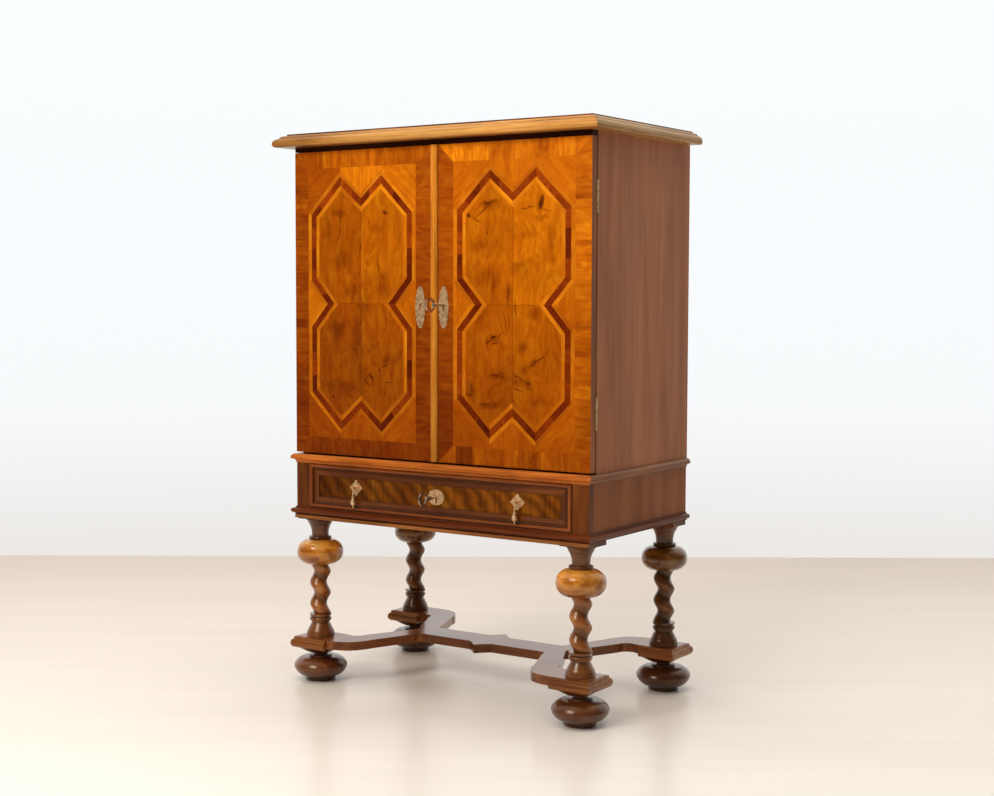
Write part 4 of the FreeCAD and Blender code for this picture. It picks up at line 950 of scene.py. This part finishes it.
def set_on_points(tree, enter, shape, material, turn=0.0):
    """Set the shape on each point, facing out, and make it one mesh in its metal."""
    facing = tree.node("ShaderNodeCombineXYZ", {"X": enter["Facing"], "Y": turn})
    scatter = tree.node("GeometryNodeInstanceOnPoints", {
        "Points": enter["Points"], "Instance": shape, "Rotation": facing.outputs[0]})
    real = tree.node("GeometryNodeRealizeInstances", {0: scatter.outputs[0]})
    dress = tree.node("GeometryNodeSetMaterial", {"Geometry": real.outputs[0],
                                                  "Material": material})
    tree.node("NodeGroupOutput", {0: dress.outputs[0]})


print("points go in, metalwork comes out")

# %% Node trees for slotted heads and for the rim
HEAD_SIDES, TAPER, BLADE_LONG = 20, 0.8, 0.02
RIM_SIDES, WIRE_SIDES = 72, 8


def heads_tree(material):
    """A low round head with a slot on each point, turned by chance on its axis."""
    tree, enter = new_tree("heads_on_points",
                           ("Radius", "Rise", "Slot width", "Slot depth", "Facing"))
    head = tree.node("GeometryNodeMeshCone", {
        "Vertices": HEAD_SIDES, "Radius Bottom": enter["Radius"], "Depth": enter["Rise"],
        "Radius Top": tree.math("MULTIPLY", enter["Radius"], TAPER)})
    size = tree.node("ShaderNodeCombineXYZ", {"X": BLADE_LONG, "Y": enter["Slot width"],
                                              "Z": enter["Rise"]})
    blade = tree.node("GeometryNodeMeshCube", {"Size": size.outputs[0]})
    # The blade is as high as the head, so from half a rise over the head it goes down by
    # the depth of the slot.
    height = tree.math("SUBTRACT", tree.math("MULTIPLY", enter["Rise"], 1.5),
                       enter["Slot depth"])
    raised = tree.node("ShaderNodeCombineXYZ", {"Z": height})
    lifted = tree.node("GeometryNodeTransform", {"Geometry": blade.outputs["Mesh"],
                                                 "Translation": raised.outputs[0]})
    cut = tree.node("GeometryNodeMeshBoolean", {"Mesh 1": head.outputs["Mesh"],
                                                "Mesh 2": lifted.outputs[0]},
                    operation="DIFFERENCE")
    spin = tree.node("FunctionNodeRandomValue", {"Seed": 7}, data_type="FLOAT")
    low_turn, high_turn = [socket for socket in spin.inputs if socket.type == "VALUE"][:2]
    low_turn.default_value, high_turn.default_value = 0.0, math.tau
    turn = next(socket for socket in spin.outputs if socket.type == "VALUE")
    set_on_points(tree, enter, cut.outputs["Mesh"], material, turn)
    return tree.tree


def rim_tree(material):
    """A thin round bead along an oval, set on each point."""
    tree, enter = new_tree("beaded_rim", ("Half width", "Half height", "Bead", "Facing"))
    circle = tree.node("GeometryNodeCurvePrimitiveCircle", {"Resolution": RIM_SIDES,
                                                            "Radius": 1.0})
    size = tree.node("ShaderNodeCombineXYZ", {"X": enter["Half width"],
                                              "Y": enter["Half height"], "Z": 1.0})
    oval = tree.node("GeometryNodeTransform", {"Geometry": circle.outputs["Curve"],
                                               "Scale": size.outputs[0]})
    wire = tree.node("GeometryNodeCurvePrimitiveCircle", {"Resolution": WIRE_SIDES,
                                                          "Radius": enter["Bead"]})
    sweep = tree.node("GeometryNodeCurveToMesh", {"Curve": oval.outputs[0],
                                                  "Profile Curve": wire.outputs["Curve"]})
    set_on_points(tree, enter, sweep.outputs[0], material)
    return tree.tree


screw_tree = heads_tree(hinge_brass)
pin_tree = heads_tree(brass)
bead_tree = rim_tree(brass)
print("trees ready:", screw_tree.name, pin_tree.name, bead_tree.name)

# %% Run a tree on a few points
def run_tree(name, body, group, points, numbers):
    """Keep the plain mesh that the tree makes on the points, riding on a body."""
    dots = bpy.data.meshes.new(name + "_points")
    dots.from_pydata(points, [], [])
    holder = bpy.data.objects.new(name + "_points", dots)
    bpy.context.collection.objects.link(holder)
    modifier = holder.modifiers.new("tree", "NODES")
    modifier.node_group = group
    sockets = {item.name: item.identifier for item in group.interface.items_tree
               if item.in_out == "INPUT"}
    for label, number in numbers.items():
        modifier[sockets[label]] = number
    bpy.context.view_layer.update()
    made = holder.evaluated_get(bpy.context.evaluated_depsgraph_get())
    mesh = bpy.data.meshes.new_from_object(made)
    bpy.data.objects.remove(holder)
    piece = bpy.data.objects.new(name, mesh)
    mesh.name = name
    bpy.context.collection.objects.link(piece)
    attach(piece, body)
    print(name, "has", len(mesh.polygons), "faces")


FRONT, BACK = math.pi / 2, -math.pi / 2
print("heads face the front at", round(math.degrees(FRONT)), "degrees")

# %% Screws, pins and the rim on their plates
LEAF, SUNK = 0.0016, 0.0001
LEAF_MIDDLE, LEAF_HIGH, SCREW_STEPS = 0.4195, 0.074, (0.012, 0.037, 0.062)
PIN_INSET, RIM_INSET, BEAD = 0.006, 0.0045, 0.0008
screw = {"Radius": 0.0026, "Rise": 0.0005, "Slot width": 0.0007, "Slot depth": 0.0003}
pin = {"Radius": 0.0014, "Rise": 0.0007, "Slot width": 0.0002, "Slot depth": -0.0002,
       "Facing": FRONT}
for side, hand in (("left", -1), ("right", 1)):
    low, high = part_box(side + "_door_hinge_leaves")
    rows = [end + step for end in (low.z, high.z - LEAF_HIGH) for step in SCREW_STEPS]
    door_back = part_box(side + "_door")[1].y + LEAF - SUNK
    case_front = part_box("case_" + side + "_side")[0].y - LEAF + SUNK
    for name, body, y, facing in (
            (side + "_door_hinge_screws", side + "_door", door_back, BACK),
            ("case_" + side + "_hinge_screws", "cabinet", case_front, FRONT)):
        run_tree(name, body, screw_tree, [(hand * LEAF_MIDDLE, y, z) for z in rows],
                 {**screw, "Facing": facing})
    low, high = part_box(side + "_escutcheon")
    run_tree(side + "_escutcheon_pins", side + "_door", pin_tree,
             [((low.x + high.x) / 2, low.y + SUNK, z)
              for z in (low.z + PIN_INSET, high.z - PIN_INSET)], pin)

low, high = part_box("drawer_escutcheon")
centre = ((low.x + high.x) / 2, low.y, (low.z + high.z) / 2)
run_tree("drawer_escutcheon_rim", "drawer", bead_tree, [centre],
         {"Half width": (high.x - low.x) / 2 - RIM_INSET,
          "Half height": (high.z - low.z) / 2 - RIM_INSET, "Bead": BEAD, "Facing": FRONT})

# %% [markdown]
# ## Camera
# The camera comes from the photo's own straight edges: the lines of the doors, of the top
# and of the stretcher meet at points that fix its height, turn and lens. It is set before
# the room, because the floor and the wall are laid out from where it looks.

# %% Camera
VIEW_TURN, VIEW_DIP, VIEW_ROLL = 33.976, -3.765, -0.159
EYE_RIGHT, EYE_BEFORE_BACK, EYE_HIGH = 2.248, 3.54045, 0.9926
EYE = Vector((EYE_RIGHT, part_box("case_back")[1].y - EYE_BEFORE_BACK, EYE_HIGH))
SENSOR, FOCAL_PIXELS, PHOTO_WIDTH = 36.0, 1588.9, 994

lens = bpy.data.cameras.new("photo_camera")
lens.sensor_width = SENSOR
lens.lens = SENSOR * FOCAL_PIXELS / PHOTO_WIDTH
lens.clip_end = 100.0
camera = bpy.data.objects.new("photo_camera", lens)
camera.location = EYE
camera.rotation_mode = "XYZ"
camera.rotation_euler = (math.radians(90 + VIEW_DIP), math.radians(VIEW_ROLL),
                         math.radians(VIEW_TURN))
bpy.context.collection.objects.link(camera)
bpy.context.scene.camera = camera
bpy.context.scene.view_settings.view_transform = "Standard"
ahead = Vector((-math.sin(math.radians(VIEW_TURN)), math.cos(math.radians(VIEW_TURN)), 0))
across = Vector((ahead.y, -ahead.x, 0))
print("camera looks along", [round(v, 3) for v in ahead])

# %% [markdown]
# ## Floor
# The object stands on pale boards that run from left to right in the picture. They are a
# little glossy, so the feet show a soft reflection, and painted shade makes them browner
# towards the wall. One flat sheet carries it all, because a board's joint is too faint to
# need a real gap.

# %% A pale sheet
NEAR_EDGE, FAR_EDGE, HALF_WIDE = -0.5, 5.95, 6.0
floor_mesh = bpy.data.meshes.new("floor")
corners = [EYE + ahead * d + across * s for d, s in
           ((NEAR_EDGE, -HALF_WIDE), (NEAR_EDGE, HALF_WIDE), (FAR_EDGE, HALF_WIDE),
            (FAR_EDGE, -HALF_WIDE))]
floor_mesh.from_pydata([(c.x, c.y, 0.0) for c in corners], [], [(0, 1, 2, 3)])
floor = bpy.data.objects.new("floor", floor_mesh)
bpy.context.collection.objects.link(floor)
print("floor reaches", FAR_EDGE, "m from the camera")

# %% Boards on it
FLOOR_SHADE_STARTS = 2.6
pale = Finish("floor_boards")
turned_back = pale.mapped(pale.place, (1, 1, 1), turn=(0, 0, -math.radians(VIEW_TURN)))
near_depth = EYE.dot(ahead)
depth = pale.spread(pale.split(turned_back)[1], 0.0, 1.0, near_depth + FLOOR_SHADE_STARTS,
                    near_depth + FAR_EDGE)
grain = pale.noise(pale.mapped(turned_back, (1.6, 26.0, 1.0)), 1.0, 4.0, 0.4)
boards = pale.noise(pale.mapped(turned_back, (0.5, 5.0, 1.0)), 1.0, 1.0)
# Painted shade: the boards get darker and browner towards the wall.
tone = pale.ramp(depth, [(0.0, rgb(253, 247, 237)), (0.3, rgb(249, 239, 227)),
                         (0.7, rgb(243, 228, 212)), (1.0, rgb(230, 208, 190))])
tone = pale.layered(tone, pale.spread(grain, 0.95, 1.03), pale.spread(boards, 0.94, 1.03))
pale.surface(Base_Color=tone, Roughness=0.24, Specular_IOR_Level=0.2)
floor_mesh.materials.append(pale.material)
print("boards run across the view, browner from", FLOOR_SHADE_STARTS, "m on")

# %% [markdown]
# ## Room light
# A bright wall stands behind the object. It shows as a pale sheen on the case's right side
# and on the stretcher's top, while the doors face a dimmer room. The world does this: its
# strength follows the direction, and what the camera itself sees is the wall's colour, with
# painted shade that makes it a little greyer near the floor.

# %% World
WALL_FOOT, WALL_HEAD = -0.17, 0.15
DIM, BRIGHT, BRIGHT_FROM, SKY_LIFT = 0.1, 1.0, 0.8, 0.6
world = bpy.data.worlds.new("studio")
bpy.context.scene.world = world
world.use_nodes = True
sky = Tree(world.node_tree)
direction = sky.node("ShaderNodeTexCoord").outputs["Generated"]
towards = sky.node("ShaderNodeVectorMath", {0: direction, 1: (ahead.x, ahead.y, SKY_LIFT)},
                   operation="DOT_PRODUCT").outputs["Value"]
room = world.node_tree.nodes["Background"]
sky.feed(room, "Color", (1.0, 0.98, 0.95, 1.0))
sky.feed(room, "Strength",
         sky.spread(towards, DIM, BRIGHT, 0.0, BRIGHT_FROM, "SMOOTHSTEP"))
# Painted shade: the wall seen by the camera is greyer towards the floor.
rise = sky.spread(sky.split(direction)["Z"], 0.0, 1.0, WALL_FOOT, WALL_HEAD)
wall = sky.node("ShaderNodeBackground", {"Color": sky.ramp(rise, [
    (0.0, rgb(234, 230, 226)), (0.11, rgb(239, 237, 235)), (0.32, rgb(248, 250, 252)),
    (1.0, rgb(250, 254, 255))])})
seen = sky.node("ShaderNodeLightPath").outputs["Is Camera Ray"]
mixer = sky.node("ShaderNodeMixShader", {0: seen, 1: room.outputs[0], 2: wall.outputs[0]})
sky.feed(world.node_tree.nodes["World Output"], "Surface", mixer.outputs[0])
print("room light from", DIM, "behind the camera to", BRIGHT, "at the wall")

# %% [markdown]
# ## Lamps
# The highlights on the balls sit left of their middle and above it, so the main lamp is
# high in front, a little left of the object. A small lamp with a narrow beam lifts the
# upper right corner of the doors, and a wide one under the ceiling lights the floor and
# everything that faces up. Only the main lamp's highlight shows on the real piece, so these
# two are hidden from reflections.

# %% Softboxes
def softbox(name, place, target, size, power, colour, mirrored=True, spread=180):
    """A rectangular lamp that looks at its target; spread is its beam in degrees."""
    lamp = bpy.data.lights.new(name, "AREA")
    lamp.shape = "RECTANGLE"
    lamp.spread = math.radians(spread)
    lamp.size, lamp.size_y = size
    lamp.energy = power
    lamp.color = colour
    holder = bpy.data.objects.new(name, lamp)
    holder.location = place
    aim = (Vector(target) - Vector(place)).to_track_quat("-Z", "Y")
    holder.rotation_euler = aim.to_euler()
    holder.visible_glossy = mirrored
    bpy.context.collection.objects.link(holder)


softbox("window_front", (-0.45, -2.8, 2.5), (0, 0, 0.8), (1.5, 1.2), 52, (1.0, 0.97, 0.92))
softbox("window_high", (0.6, -2.8, 2.6), (0.5, -0.2, 1.4), (0.8, 0.8), 2.2,
        (1.0, 0.98, 0.92), mirrored=False, spread=40)
softbox("ceiling", (0.3, -0.8, 4.2), (0.3, -0.8, 0), (4.0, 3.4), 66, (1.0, 0.97, 0.94),
        mirrored=False)
print("lamps:", len(bpy.data.lights))

# %% [markdown]
# ## Finish
